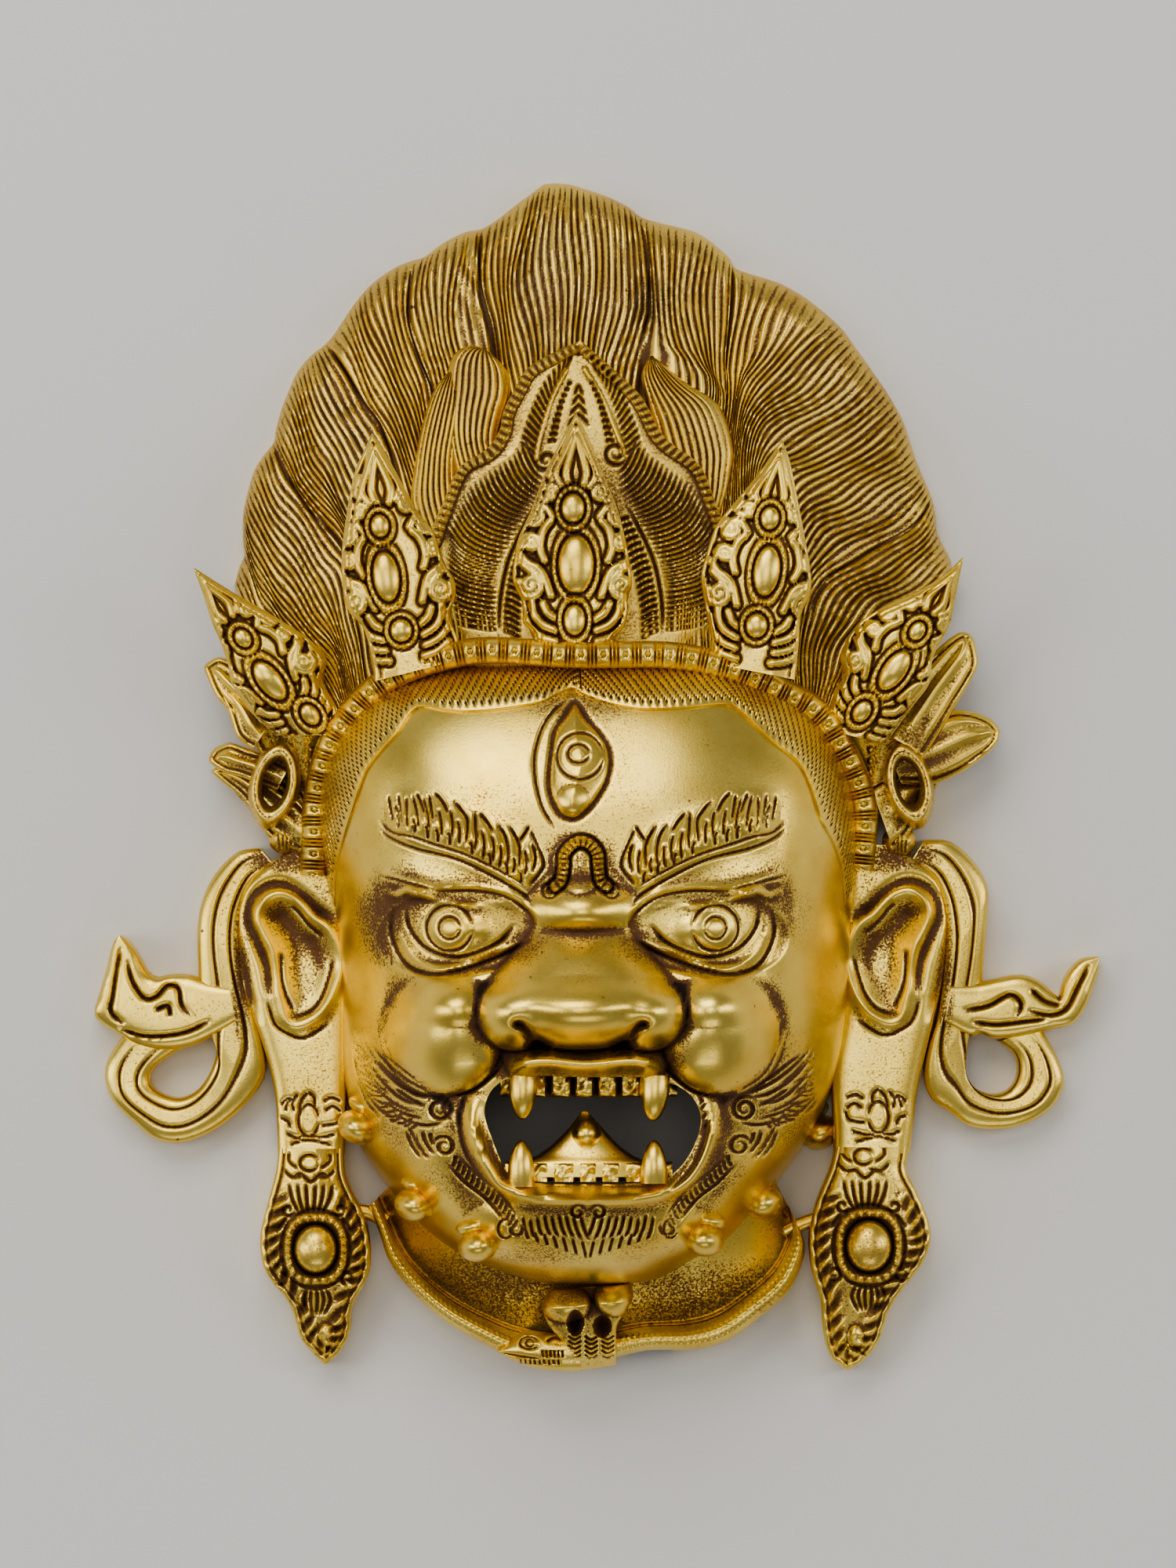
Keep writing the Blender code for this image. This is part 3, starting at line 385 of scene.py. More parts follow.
third_lid = curve([(722, 895), (706, 908), (694, 926), (687, 945), (683, 965), (683, 985), (686, 1006),
                   (694, 1032), (709, 1056)])
nose_wrinkle = curve([(650, 1214), (690, 1188), (747, 1178), (800, 1188), (846, 1214)])
upper_lip = curve([(648, 1361), (672, 1350), (700, 1347), (750, 1351), (800, 1347), (826, 1350),
                   (848, 1360)])
lip_ring = curve([(612, 1388), (604, 1420), (610, 1452), (624, 1482), (646, 1508), (700, 1519), (755, 1521),
                  (815, 1519), (866, 1506), (890, 1482), (904, 1450), (908, 1420), (893, 1388)])
ring_outside = curve([(598, 1384), (588, 1420), (594, 1458), (612, 1490), (640, 1516)])
# rows of the nose from root to tip, with its half width in squares and its height
nose_rows = curve([(1150, 50, 0), (1178, 60, 5), (1200, 76, 9), (1222, 96, 13.5), (1245, 120, 17.5),
                   (1265, 134, 20.5), (1282, 138, 21), (1298, 134, 16), (1312, 122, 6), (1326, 100, 0)])
nostril = curve([(656, 1306), (663, 1300), (671, 1306), (680, 1318), (694, 1328), (706, 1334)])
cheek_contour = curve([(500, 1285), (493, 1308), (498, 1336), (518, 1368), (556, 1388), (598, 1388),
                       (630, 1366), (644, 1348)])
jaw_pegs = [((460, 1434), (-8, 6)), ((532, 1530), (-4, 8)), ((610, 1578), (3, 9)),
            ((1044, 1444), (8, 6)), ((971, 1530), (4, 8)), ((898, 1572), (-3, 9))]


def face_sides(y):
    """The left and right edges of the face on a row of the drawing."""
    return np.interp(y, *left_edge.T), np.interp(y, *right_edge.T)


def nose_form(x, y):
    """The broad nose: a saddle at the root, a wide round tip and a round wing on each side."""
    wide = np.interp(y, nose_rows[:, 0], nose_rows[:, 1])
    high = np.interp(y, nose_rows[:, 0], nose_rows[:, 2], left=0.0, right=0.0)
    across = np.clip(np.abs(x - 741) / wide, 0.0, 1.0)
    wings = boss(x, y, (657, 1289), (58, 47), 20.5, 0.55) + boss(x, y, (825, 1289), (58, 47), 20.5, 0.55)
    tip = boss(x, y, (741, 1287), (96, 48), 24.0, 0.55)
    return softer_top(softer_top(high * (1.0 - across ** 2.4) ** 0.62, tip, 3.5), wings, 3.0) - 3.2


def face_form(x, y):
    """The dome of the face with brows, eyes, nose, cheeks, mouth and chin."""
    left, right = face_sides(y)
    across = np.clip(np.abs((x - 0.5 * (left + right)) / (0.5 * (right - left))), 0.0, 1.0)
    foot = np.interp(y, *side_foot.T)
    dome = foot + (np.interp(y, *crest.T) - foot) * round_over(across, 3.2)
    high = np.zeros(np.shape(x))
    for side in (-1, 1):
        lines = [left_brow, lid_fold, lid_edge, lower_roll]
        brow, fold, edge, roll = lines if side < 0 else flipped(lines, face_axis)
        eye_x = face_axis + side * 158
        high = high + ridge(x, y, brow, 24, 4.2)
        high = high - boss(x, y, (eye_x, 1186), (104, 58), 14.0, 1.2, side * 6)
        ball = -13.0 + boss(x, y, (eye_x + side * -4, 1183), (70, 44), 14.5, 0.5)
        high = softer_top(high, ball, 1.0)
        high = high + ridge(x, y, fold, 8, 2.0, 5.0) + ridge(x, y, edge, 6, 3.6, 5.0)
        high = high + ridge(x, y, roll, 9, 5.6, 7.0)
        high = high + boss(x, y, (eye_x - side * 6, 1262), (96, 44), 4.0, 1.3)
        full = np.interp(y, (1240, 1350), (1.6, 0.66))
        high = high + boss(x, y, (743 + side * 177, 1312), (79, 82), 11.5, full)
    eye = inside(x, y, third_eye)
    high = high + 3.4 * np.sqrt(np.clip(eye / 40.0, 0.0, 1.0)) * (eye > 0)
    high = high - 1.3 * bell(eye, 0.0, 3.2) + boss(x, y, (731, 1019), (20, 18), 1.1, 0.5)
    high = high + boss(x, y, (739, 1100), (34, 38), 3.0, 0.7)
    high = high + boss(x, y, (742, 1156), (74, 40), 7.5, 1.4) + ridge(x, y, nose_wrinkle, 18, 1.5)
    high = softer_top(high, nose_form(x, y), 1.2)
    for side in (-1, 1):
        curl = nostril if side < 0 else flipped([nostril], 741.0)[0]
        high = high + ridge(x, y, curl, 6.0, -4.0, 9.0)
        high = high - boss(x, y, (741 + side * 58, 1328), (14, 8), 4.0, 0.8)
    high = high + ridge(x, y, upper_lip, 15, 8.5) + ridge(x, y, lip_ring, 12, 6.5, 9.0)
    high = high + boss(x, y, (748, 1572), (170, 70), 6.0, 1.0)
    return dome + (1.0 - ease(0.8, 1.0, across)) * high


# the left brow's strokes as they run, each from its upper end
brow_cuts = [[(499, 1014), (501, 1028), (505, 1049)], [(505, 1024), (512, 1037), (516, 1053)],
             [(511, 1012), (514, 1032), (518, 1054)], [(522, 1014), (522, 1034), (524, 1060)],
             [(529, 1012), (535, 1036), (538, 1060)], [(534, 1010), (541, 1026), (545, 1040)],
             [(542, 1014), (549, 1040), (551, 1064)], [(550, 1012), (553, 1030), (556, 1048)],
             [(556, 1010), (567, 1022), (575, 1038)], [(562, 1030), (566, 1050), (566, 1070)],
             [(576, 1030), (580, 1050), (578, 1074)], [(580, 1020), (592, 1034), (599, 1048), (596, 1080)],
             [(586, 1044), (589, 1060), (588, 1078)], [(608, 1033), (609, 1056), (610, 1070), (606, 1090)],
             [(613, 1036), (623, 1047), (631, 1060)], [(616, 1056), (620, 1075), (618, 1098)],
             [(628, 1062), (632, 1080), (630, 1102)], [(635, 1049), (646, 1065), (650, 1090), (646, 1110)],
             [(640, 1074), (641, 1092), (638, 1108)], [(649, 1050), (658, 1064), (664, 1080), (663, 1112)],
             [(663, 1073), (670, 1063), (677, 1052)], [(656, 1090), (658, 1102), (655, 1114)],
             [(670, 1080), (673, 1098), (670, 1118)], [(679, 1072), (684, 1092), (680, 1112)]]
brow_cuts += [[(x0, y0), (x0 + 4, y0 + 10), (x0 + 3, y0 + 21)] for x0, y0 in
              ((508, 1036), (529, 1042), (545, 1050), (558, 1054), (573, 1058), (601, 1070), (624, 1084),
               (645, 1096), (662, 1106))]
brow_cuts = [curve(cut, 4) for cut in brow_cuts]


tuft_axis = 754.0


def whiskers():
    """The left tuft's strokes and curls, and the roped strip that runs down to the chin."""
    lines = [curve(line, 5) for line in (
        [(450, 1311), (460, 1345), (478, 1380), (504, 1404), (534, 1416)],
        [(456, 1316), (470, 1350), (492, 1380), (520, 1400), (546, 1403)],
        [(464, 1322), (482, 1352), (506, 1376), (535, 1392), (558, 1394)],
        [(472, 1328), (494, 1352), (520, 1372), (546, 1385), (566, 1393)],
        [(451, 1330), (456, 1362), (468, 1392), (488, 1414), (512, 1426)],
        [(484, 1337), (510, 1356), (538, 1376), (560, 1388)],
        [(456, 1372), (468, 1402), (484, 1420)], [(498, 1412), (520, 1425), (545, 1430), (566, 1426)],
        [(488, 1398), (512, 1414), (540, 1422)], [(480, 1346), (498, 1366), (516, 1380)],
        [(466, 1356), (482, 1380), (500, 1394)], [(506, 1384), (526, 1398), (544, 1406)],
        [(530, 1440), (536, 1458), (550, 1474)], [(522, 1428), (530, 1448), (546, 1468)],
        [(540, 1436), (545, 1452), (556, 1468)], [(550, 1438), (552, 1448), (556, 1456)],
        [(520, 1436), (527, 1456), (540, 1474)])]
    outside = curve([(447, 1318), (452, 1350), (462, 1382), (480, 1410), (506, 1428), (536, 1434)])
    for share in np.linspace(0.03, 0.93, 16):
        x0, y0 = along(outside, share)
        reach = 0.36 + 0.1 * math.sin(40.0 * share)
        x1, y1 = x0 + reach * (560 - x0), y0 + reach * (1412 - y0)
        lines.append(np.array([(x0, y0), (0.5 * (x0 + x1) - 2.0, 0.5 * (y0 + y1) + 4.0), (x1, y1)]))
    lines += [spiral((562, 1409), 17, 2.2, 200, 1), spiral((568, 1456), 15, 1.8, 150, 1)]
    upper = curve([(581, 1464), (604, 1487), (632, 1509), (648, 1528), (664, 1552)])
    lower = curve([(569, 1474), (594, 1501), (620, 1521), (638, 1541), (650, 1562)])
    lines += [upper, lower, spiral((658, 1560), 11, 1.2, 300, 1)]
    for share in np.linspace(0.02, 0.94, 15):
        x0, y0 = along(upper, share)
        x1, y1 = along(lower, min(share + 0.09, 1.0))
        lines.append(np.array([(x0, y0), (0.5 * (x0 + x1) + 2.0, 0.5 * (y0 + y1)), (x1, y1)]))
    return lines + flipped(lines, tuft_axis)


def chin_tuft(rng):
    """Two small curls and slanted strokes under the lower lip."""
    lines = [spiral((737, 1538), 11, 1.4, 0, -1), spiral((763, 1538), 11, 1.4, 180, 1)]
    for side in (-1, 1):
        for k in range(9):
            x0 = 750 + side * (10 + 9 * k)
            y0 = 1540 + 0.5 * k + rng.normal(0, 2)
            lean = side * (-12 + 0.5 * k)
            lines.append(curve([(x0, y0), (x0 + lean * 0.4, y0 + 18), (x0 + lean, y0 + 34 - k)], 4))
        for k in range(7):
            x0 = 750 + side * (8 + 12 * k)
            lines.append(np.array([(x0, 1572 - 2 * k), (x0 - side * 6, 1598 - 4 * k)]))
        lines.append(ring((750 + side * 104, 1560), (9, 12)))
    return lines


chisel = np.random.default_rng(7)
whisker_lines = whiskers()
face_lines = brow_cuts + flipped(brow_cuts, face_axis) + whisker_lines
face_lines += flipped(whisker_lines, 755) + chin_tuft(chisel)
drawn_lines = [brow_line, under_brow, brow_end, lid_fold, ring((576, 1181), (29, 29)),
               ring((576, 1181), (13.5, 14)), cheek_contour]
drawn_lines += flipped(drawn_lines, face_axis)
drawn_lines += [ring((740, 965), (29, 29)), ring((738, 962), (13.2, 11.5)), third_lid]
drawn_lines += [ring((702, 1134), (9, 9)), ring((780, 1134), (9, 9))]
drawn_lines += [ring((702, 1134), (3, 3)), ring((780, 1134), (3, 3))]
deep_lines = [roll_outside, roll_inside, ring_outside]
deep_lines += flipped(deep_lines, face_axis)
loop = curve([(709, 1128), (716, 1121), (719, 1104), (720, 1088), (730, 1076), (741, 1072),
              (753, 1076), (762, 1088), (763, 1104), (766, 1121), (773, 1128)])
loop_beads = 21


def face_carving(x, y):
    """Everything the graver cut into the face, and the beaded loop between the brows."""
    low = np.minimum(engraved(x, y, face_lines, 2.1, 1.2), engraved(x, y, drawn_lines, 2.0, 0.85, 12.0))
    low = np.minimum(low, engraved(x, y, deep_lines, 2.8, 1.2, 9.0))

    def beads(px, py):
        distance, share = nearest(px, py, loop)[:2]
        rope = round_over(distance / 7.5)
        outline = 0.9 * bell(distance, 8.5, 2.0)
        return rope * (1.5 + 0.7 * np.cos(2 * np.pi * loop_beads * share)) - outline
    return low + local(x, y, loop, 14.0, beads)


def face_height(x, y):
    return face_form(x, y) + face_carving(x, y)


def eased_rows(t):
    """Rows drawn closer together towards both ends."""
    return 0.7 * t + 0.3 * (0.5 - 0.5 * np.cos(np.pi * t))


def face_spot(s, t):
    y = face_bottom + (face_top - face_bottom) * eased_rows(t)
    left, right = face_sides(y)
    return left + (right - left) * eased_rows(s), y


def face_front(s, t):
    x, y = face_spot(s, t)
    return x, y, face_height(x, y)


def face_back(s, t):
    """The inner side of the casting, sunk by its wall all over."""
    inset = face_wall * squares_per_mm
    y = face_bottom - inset + (face_top - face_bottom + 2 * inset) * eased_rows(t)
    left, right = face_sides(y)
    x = left + inset + (right - left - 2 * inset) * eased_rows(s)
    floor = np.interp(y, *side_foot.T)
    low = face_form(x, y) - face_wall
    for reach, drop in ((6.0, 2.6), (12.0, 2.0), (15.0, 0.0)):
        for turn in range(8):
            angle = math.pi * turn / 4
            low = np.minimum(low, face_form(x + reach * math.cos(angle), y + reach * math.sin(angle)) - drop)
    edge = (s < 0.001) | (s > 0.999) | (t < 0.001) | (t > 0.999)
    return x, y, np.where(edge, floor, np.maximum(low, floor))


def fine_zone(x, y):
    """Where the face is chased: third eye, brows, eyes, whiskers, lips and chin."""
    mirrored_x = np.where(x > face_axis, 2 * face_axis - x, x)
    zone = (np.abs(x - 738) < 62) & (y > 885) & (y < 1066)
    zone |= (mirrored_x > 478) & (y > 1000) & (y < 1250) & (y < 1150 + 0.9 * (mirrored_x - 400))
    zone |= (np.abs(x - 741) < 50) & (y > 1060) & (y < 1150)
    zone |= ((mirrored_x > 446) & (mirrored_x < 600) & (y > 1305) & (y < 1480)
             & (mirrored_x < 470 + 0.9 * (y - 1300)))
    zone |= ((mirrored_x > 535) & (mirrored_x < 690) & (y > 1440) & (y < 1575)
             & (np.abs(y - 1460 - 0.75 * (mirrored_x - 545)) < 42))
    zone |= (np.abs(x - 750) < 120) & (y > 1522) & (y < 1604)
    zone |= (np.abs(x - 745) < 170) & (y > 1290) & (y < 1400)
    return zone


def hex_colour(text):
    """An sRGB hex colour as linear red, green and blue."""
    values = [int(text[i:i + 2], 16) / 255.0 for i in (1, 3, 5)]
    return [v / 12.92 if v <= 0.04045 else ((v + 0.055) / 1.055) ** 2.4 for v in values] + [1.0]


def node(tree, kind, values, **settings):
    """Adds a node with its settings, and puts a plain value or a link into each of its inputs."""
    added = tree.nodes.new(kind)
    for key, setting in settings.items():
        setattr(added, key, setting)
    for key, value in values.items():
        if isinstance(value, bpy.types.NodeSocket):
            tree.links.new(value, added.inputs[key])
        else:
            added.inputs[key].default_value = value
    return added


# how many tarnish clouds, casting pits and grains of sand lie along a metre
clouds, pits_along, grains = 55.0, 340.0, 1700.0


def brass(name, bright, shade, patina, deep, rough, fine_gain, broad_gain, start, pits, grain):
    """Cast brass: polished on its high places, with brown patina held in its hollows and painted shade where
    the stain patches lie.
    """
    material = bpy.data.materials.new(name)
    material.use_nodes = True
    tree = material.node_tree
    shader = tree.nodes["Principled BSDF"]
    spot = node(tree, "ShaderNodeTexCoord", {}).outputs["Object"]

    def relief(label):
        return node(tree, "ShaderNodeAttribute", {}, attribute_name=label).outputs["Fac"]

    def noise(along_a_metre, detail, roughness):
        values = {"Vector": spot, "Scale": along_a_metre, "Detail": detail, "Roughness": roughness}
        return node(tree, "ShaderNodeTexNoise", values).outputs["Fac"]

    def plus(value, gain, base):
        values = {0: value, 1: gain, 2: base}
        return node(tree, "ShaderNodeMath", values, operation="MULTIPLY_ADD").outputs[0]

    def step(value, low, high, start_at=0.0, end_at=1.0):
        values = {"Value": value, "From Min": low, "From Max": high, "To Min": start_at, "To Max": end_at}
        return node(tree, "ShaderNodeMapRange", values).outputs[0]

    def mixed(share, one, other):
        return node(tree, "ShaderNodeMix", {0: share, 6: one, 7: other}, data_type="RGBA").outputs[2]

    # broad clouds of tarnish, the sand's fine grain and the pits it left
    cloud = noise(clouds, 6.0, 0.6)
    speck = noise(grains, 3.0, 0.7)
    spots = noise(pits_along, 2.0, 0.5)
    # hollows hold patina, and more brown, patina and painted shade, where the stain patches are, with a
    # grainy and cloudy edge
    hollow = plus(relief("recess_broad"), broad_gain, plus(relief("recess_fine"), fine_gain, -start))
    held = plus(cloud, 0.5, plus(relief("stain_and_shade"), 1.3, plus(speck, grain, hollow)))
    dirt_and_shade = step(held, 0.45, 0.85)
    pit = step(spots, 0.72 - pits, 0.80 - pits)
    # the metal's yellow drifts a little, then turns brown with patina and painted shade, and black in the
    # deepest cuts
    metal = mixed(step(cloud, 0.35, 0.68), hex_colour(bright), hex_colour(shade))
    dull = mixed(dirt_and_shade, mixed(pit, metal, hex_colour(patina)), hex_colour(patina))
    tree.links.new(mixed(step(held, 1.1, 2.4), dull, hex_colour(deep)), shader.inputs["Base Color"])
    # patina is rougher than polished brass and shows less of the bare metal
    tree.links.new(plus(speck, 0.16, step(dirt_and_shade, 0.0, 1.0, rough, 0.62)), shader.inputs["Roughness"])
    tree.links.new(step(dirt_and_shade, 0.5, 1.0, 1.0, 0.6), shader.inputs["Metallic"])
    grain_height = plus(pit, -0.6, speck)
    bump = node(tree, "ShaderNodeBump", {"Strength": 0.12, "Distance": 0.4 * mm, "Height": grain_height})
    tree.links.new(bump.outputs[0], shader.inputs["Normal"])
    return material


polished = brass("polished_brass", "#F3D772", "#E2BF5A", "#6C4A2E", "#28180E", rough=0.22, fine_gain=2.5,
                 broad_gain=0.3, start=0.93, pits=0.0, grain=2.1)

mouth_foot_mm, mouth_cut_mm = 10.0, 90.0
face = plate("face", 26, 30, 5, face_front, face_back, fine_zone)
bm = bmesh.new()
bm.faces.new([bm.verts.new(point) for point in on_model(mouth[:-1, 0], mouth[:-1, 1], mouth_foot_mm)])
grown = bmesh.ops.extrude_face_region(bm, geom=bm.faces[:])
for v in [g for g in grown["geom"] if isinstance(g, bmesh.types.BMVert)]:
    v.co.z += mouth_cut_mm * mm
cutter = made("mouth_cutter", bm)
cut = face.modifiers.new("mouth", "BOOLEAN")
cut.operation, cut.solver, cut.object = "DIFFERENCE", "MANIFOLD", cutter
face.data = bpy.data.meshes.new_from_object(face.evaluated_get(bpy.context.evaluated_depsgraph_get()))
face.modifiers.clear()
bpy.data.objects.remove(cutter)
cast(face, polished)

# The combed fringe under the crown: fine slanted strokes on a low step of the forehead, cast
# and chased with the face, its lower edge worn bright.

band_line = curve([(398, 1119), (401, 1073), (401, 1030), (409, 987), (424, 944), (447, 912), (470, 886),
                   (510, 860), (560, 842), (620, 830), (732, 837), (850, 837), (920, 850), (960, 865),
                   (1000, 885), (1030, 903), (1054, 927), (1073, 955), (1089, 985), (1098, 1012),
                   (1103, 1040), (1103, 1070), (1100, 1110)])
fringe_edge = curve([(428, 1158), (431, 1112), (443, 1066), (456, 1028), (470, 986), (490, 958), (508, 938),
                     (534, 904), (570, 908), (601, 911), (641, 908), (690, 899), (712, 888), (731, 880),
                     (745, 888), (780, 901), (820, 908), (869, 906), (922, 900), (945, 911), (976, 942),
                     (1014, 974), (1030, 1004), (1043, 1046), (1061, 1080), (1071, 1112), (1076, 1156)])
fringe_strokes = 100


def between(one, other, s, t):
    """A point between two edges drawn the same way: t along them and s across."""
    ax, ay = along(one, t)
    bx, by = along(other, t)
    return ax + (bx - ax) * s, ay + (by - ay) * s


def fringe_spot(s, t):
    """From the crown at s 0 to the fringe's lower edge, and round the forehead along t."""
    return between(band_line, fringe_edge, s, t)


def fringe_front(s, t):
    x, y = fringe_spot(s, t)
    stroke = np.abs(np.sin(np.pi * (fringe_strokes * t + 6.0 * s * np.sign(0.5 - t))))
    raised = 3.0 * round_over(s, 6) - 0.5
    combed = 1.1 * (stroke ** 0.6 - 1.0) * (1.0 - ease(0.84, 0.9, s))
    return x, y, face_form(x, y) + raised + combed - 0.5 * bell(s, 0.86, 0.03)


def fringe_back(s, t):
    x, y = fringe_spot(s, t)
    return x, y, face_form(x, y) - 1.0


cast(plate("fringe", 3, 150, 6, fringe_front, fringe_back), polished)


# The hair behind the crown: a fan of flame-like locks combed to the rim, cast hollow with the
# face. It is rougher and duller than the face, with brown patina between its strands.

hair_edge = curve([(296, 745), (302, 722), (309, 706), (307, 690), (307, 658), (309, 642), (317, 610),
                   (323, 594), (334, 577), (346, 562), (349, 546), (353, 530), (358, 514), (371, 482),
                   (380, 466), (394, 450), (414, 434), (427, 418), (448, 386), (470, 360), (500, 338),
                   (524, 328), (540, 323), (563, 306), (593, 291), (612, 288), (634, 275), (654, 259),
                   (676, 243), (705, 227), (762, 241), (800, 258), (818, 272), (845, 280), (887, 291),
                   (912, 307), (932, 325), (941, 339), (991, 355), (1022, 371), (1044, 387), (1063, 403),
                   (1079, 419), (1090, 435), (1102, 451), (1113, 467), (1135, 499), (1153, 531),
                   (1164, 563), (1175, 594), (1189, 627), (1194, 643), (1197, 660), (1198, 676),
                   (1206, 694), (1215, 712), (1220, 745)], 3)
hair_guides = [
    [(296, 745), (318, 790), (350, 840), (395, 900), (430, 950)],
    [(310, 654), (335, 720), (380, 785), (430, 835), (450, 900)],
    [(337, 574), (361, 631), (422, 706), (441, 735), (455, 830), (465, 890)],
    [(346, 564), (385, 640), (430, 690), (444, 725), (460, 820), (470, 885)],
    [(351, 540), (376, 607), (390, 625), (436, 674), (470, 760), (485, 870)],
    [(368, 488), (400, 571), (421, 608), (480, 740), (500, 865)],
    [(394, 451), (416, 516), (457, 581), (500, 700), (520, 860)],
    [(412, 436), (436, 471), (463, 516), (488, 555), (520, 680), (540, 855)],
    [(429, 414), (452, 450), (480, 511), (515, 587), (545, 700), (560, 852)],
    [(471, 360), (478, 409), (507, 482), (530, 539), (560, 680), (580, 850)],
    [(512, 333), (510, 382), (525, 451), (546, 516), (580, 680), (600, 850)],
    [(525, 328), (520, 400), (533, 450), (555, 510), (590, 680), (610, 850)],
    [(552, 316), (541, 372), (552, 437), (570, 490), (605, 680), (625, 850)],
    [(591, 292), (578, 372), (585, 437), (602, 500), (630, 680), (650, 850)],
    [(613, 287), (612, 340), (618, 380), (632, 440), (655, 680), (668, 850)],
    [(677, 243), (656, 346), (665, 424), (672, 464), (700, 680), (705, 850)],
    [(726, 233), (726, 350), (726, 464), (735, 680), (735, 850)],
    [(786, 252), (792, 372), (776, 437), (771, 463), (765, 680), (770, 850)],
    [(818, 272), (828, 330), (828, 400), (820, 440), (795, 680), (800, 850)],
    [(839, 278), (841, 372), (851, 432), (866, 476), (830, 680), (830, 850)],
    [(875, 288), (869, 372), (886, 450), (905, 503), (865, 680), (865, 850)],
    [(920, 313), (915, 385), (915, 476), (920, 516), (890, 690), (885, 855)],
    [(936, 332), (932, 400), (927, 460), (927, 510), (900, 690), (900, 858)],
    [(970, 348), (946, 448), (934, 500), (915, 690), (915, 862)],
    [(1022, 371), (974, 451), (941, 513), (930, 690), (930, 866)],
    [(1063, 403), (1005, 464), (950, 535), (942, 700), (945, 870)],
    [(1093, 440), (1032, 503), (965, 562), (955, 710), (960, 875)],
    [(1126, 486), (1084, 535), (1022, 572), (975, 605), (970, 720), (975, 880)],
    [(1158, 545), (1133, 571), (1071, 611), (1015, 640), (992, 740), (990, 885)],
    [(1177, 598), (1151, 623), (1084, 660), (1044, 685), (1012, 760), (1005, 895)],
    [(1191, 634), (1169, 666), (1099, 709), (1050, 745), (1024, 810), (1020, 905)],
    [(1198, 676), (1175, 705), (1133, 739), (1096, 763), (1050, 830), (1035, 915)],
    [(1220, 745), (1180, 780), (1130, 820), (1080, 870), (1050, 930)],
]
# the guides that run in the partings between the locks
lock_parts = [0, 3, 7, 11, 14, 18, 22, 30, 32]
strand_count = 150
hair_middle, rim_inset, hair_wall = (745.0, 760.0), 15.0, 4.2
# rows stand closer together at the rim, and the first of them lies on the back rim
rim_crowding, foot_share = 1.3, 0.0004


def share_at(path, point):
    """How far along a line one of its points lies, from 0 to 1."""
    steps = np.hypot(*np.diff(path, axis=0).T)
    marks = np.concatenate([[0.0], np.cumsum(steps)])
    return marks[np.argmin(np.hypot(*(path - point).T))] / marks[-1]


guide_share = [share_at(hair_edge, guide[0]) for guide in hair_guides]
guide_share[0], guide_share[-1] = 0.0, 1.0
guide_steps = np.linspace(0.0, 1.0, 33)
guide_reach = np.array([np.column_stack(along(curve(guide), guide_steps)) for guide in hair_guides])
guide_reach -= guide_reach[:, :1]


def hair_spot(s, t):
    """A point of the fan: s runs round the rim and t follows the strands in to the crown."""
    x, y = along(hair_edge, s)
    k = np.clip(np.searchsorted(guide_share, s, side="right") - 1, 0, len(guide_share) - 2)
    low, high = np.array(guide_share)[k], np.array(guide_share)[k + 1]
    mix = (s - low) / (high - low)
    step = np.clip(t, 0.0, 1.0) * (len(guide_steps) - 1)
    j = np.minimum(step.astype(int), len(guide_steps) - 2)
    part = (step - j)[:, None]
    one = guide_reach[k, j] * (1 - part) + guide_reach[k, j + 1] * part
    other = guide_reach[k + 1, j] * (1 - part) + guide_reach[k + 1, j + 1] * part
    move = one * (1 - mix[:, None]) + other * mix[:, None]
    return x + move[:, 0], y + move[:, 1]


comb_share = np.linspace(0.0, 1.0, 400)
comb_x, comb_y = hair_spot(comb_share, np.full(400, 0.22))
comb_length = np.concatenate([[0.0], np.cumsum(np.hypot(np.diff(comb_x), np.diff(comb_y)))])
comb_length = 0.3 * comb_share + 0.7 * comb_length / comb_length[-1]
strand_rng = np.random.default_rng(21)
strand_high = 0.75 + 0.5 * strand_rng.random(strand_count)
strand_shape = 0.6 + 1.1 * strand_rng.random(strand_count)


def hair_form(s, t):
    """A rounded rim, a slope up to the crown, and a full round lock between each two partings."""
    parts = [guide_share[k] for k in lock_parts]
    k = np.clip(np.searchsorted(parts, s, side="right") - 1, 0, len(parts) - 2)
    low, high = np.array(parts)[k], np.array(parts)[k + 1]
    across = 2.0 * (s - low) / (high - low) - 1.0
    rim = 8.0 * round_over(1.0 - np.clip(t / 0.07, 0.0, 1.0))
    slope = 21.0 * np.clip((t - 0.04) / 0.96, 0.0, 1.0) ** 0.85
    lock = 3.0 * ((1.0 - across ** 4) ** 0.5 - 0.75) * ease(0.0, 0.06, t) * (1.0 - 0.6 * ease(0.4, 0.9, t))
    return rim + slope + lock


def hair_front(s, t):
    """The combed strands, each with its own height and roundness."""
    t = (1.0 - t) ** rim_crowding
    x, y = hair_spot(s, t)
    sway = 0.5 * np.sin(7.0 * t + 31.0 * s) * ease(0.0, 0.3, t) + 0.2 * np.sin(23.0 * t + 90.0 * s)
    strand = np.clip(np.interp(s, comb_share, comb_length) * strand_count + sway, 0.0, strand_count - 0.001)
    k = strand.astype(int)
    crest = np.sin(np.pi * (strand - k)) ** strand_shape[k]
    comb = (crest - 0.5) * strand_high[k] * ease(0.0, 0.016, t) * (1.0 - 0.35 * ease(0.4, 1.0, t))
    return x, y, np.where(t < foot_share, 0.0, hair_form(s, t) + comb)


def hair_back(s, t):
    """The inner side of the hair, drawn in from its rim towards the middle."""
    t = (1.0 - t) ** rim_crowding
    x, y = hair_spot(s, t)
    in_x, in_y = hair_middle[0] - x, hair_middle[1] - y
    inset = rim_inset * (1.0 - t) / np.hypot(in_x, in_y)
    return x + in_x * inset, y + in_y * inset, np.where(t < foot_share, 0.0, hair_form(s, t) - hair_wall)


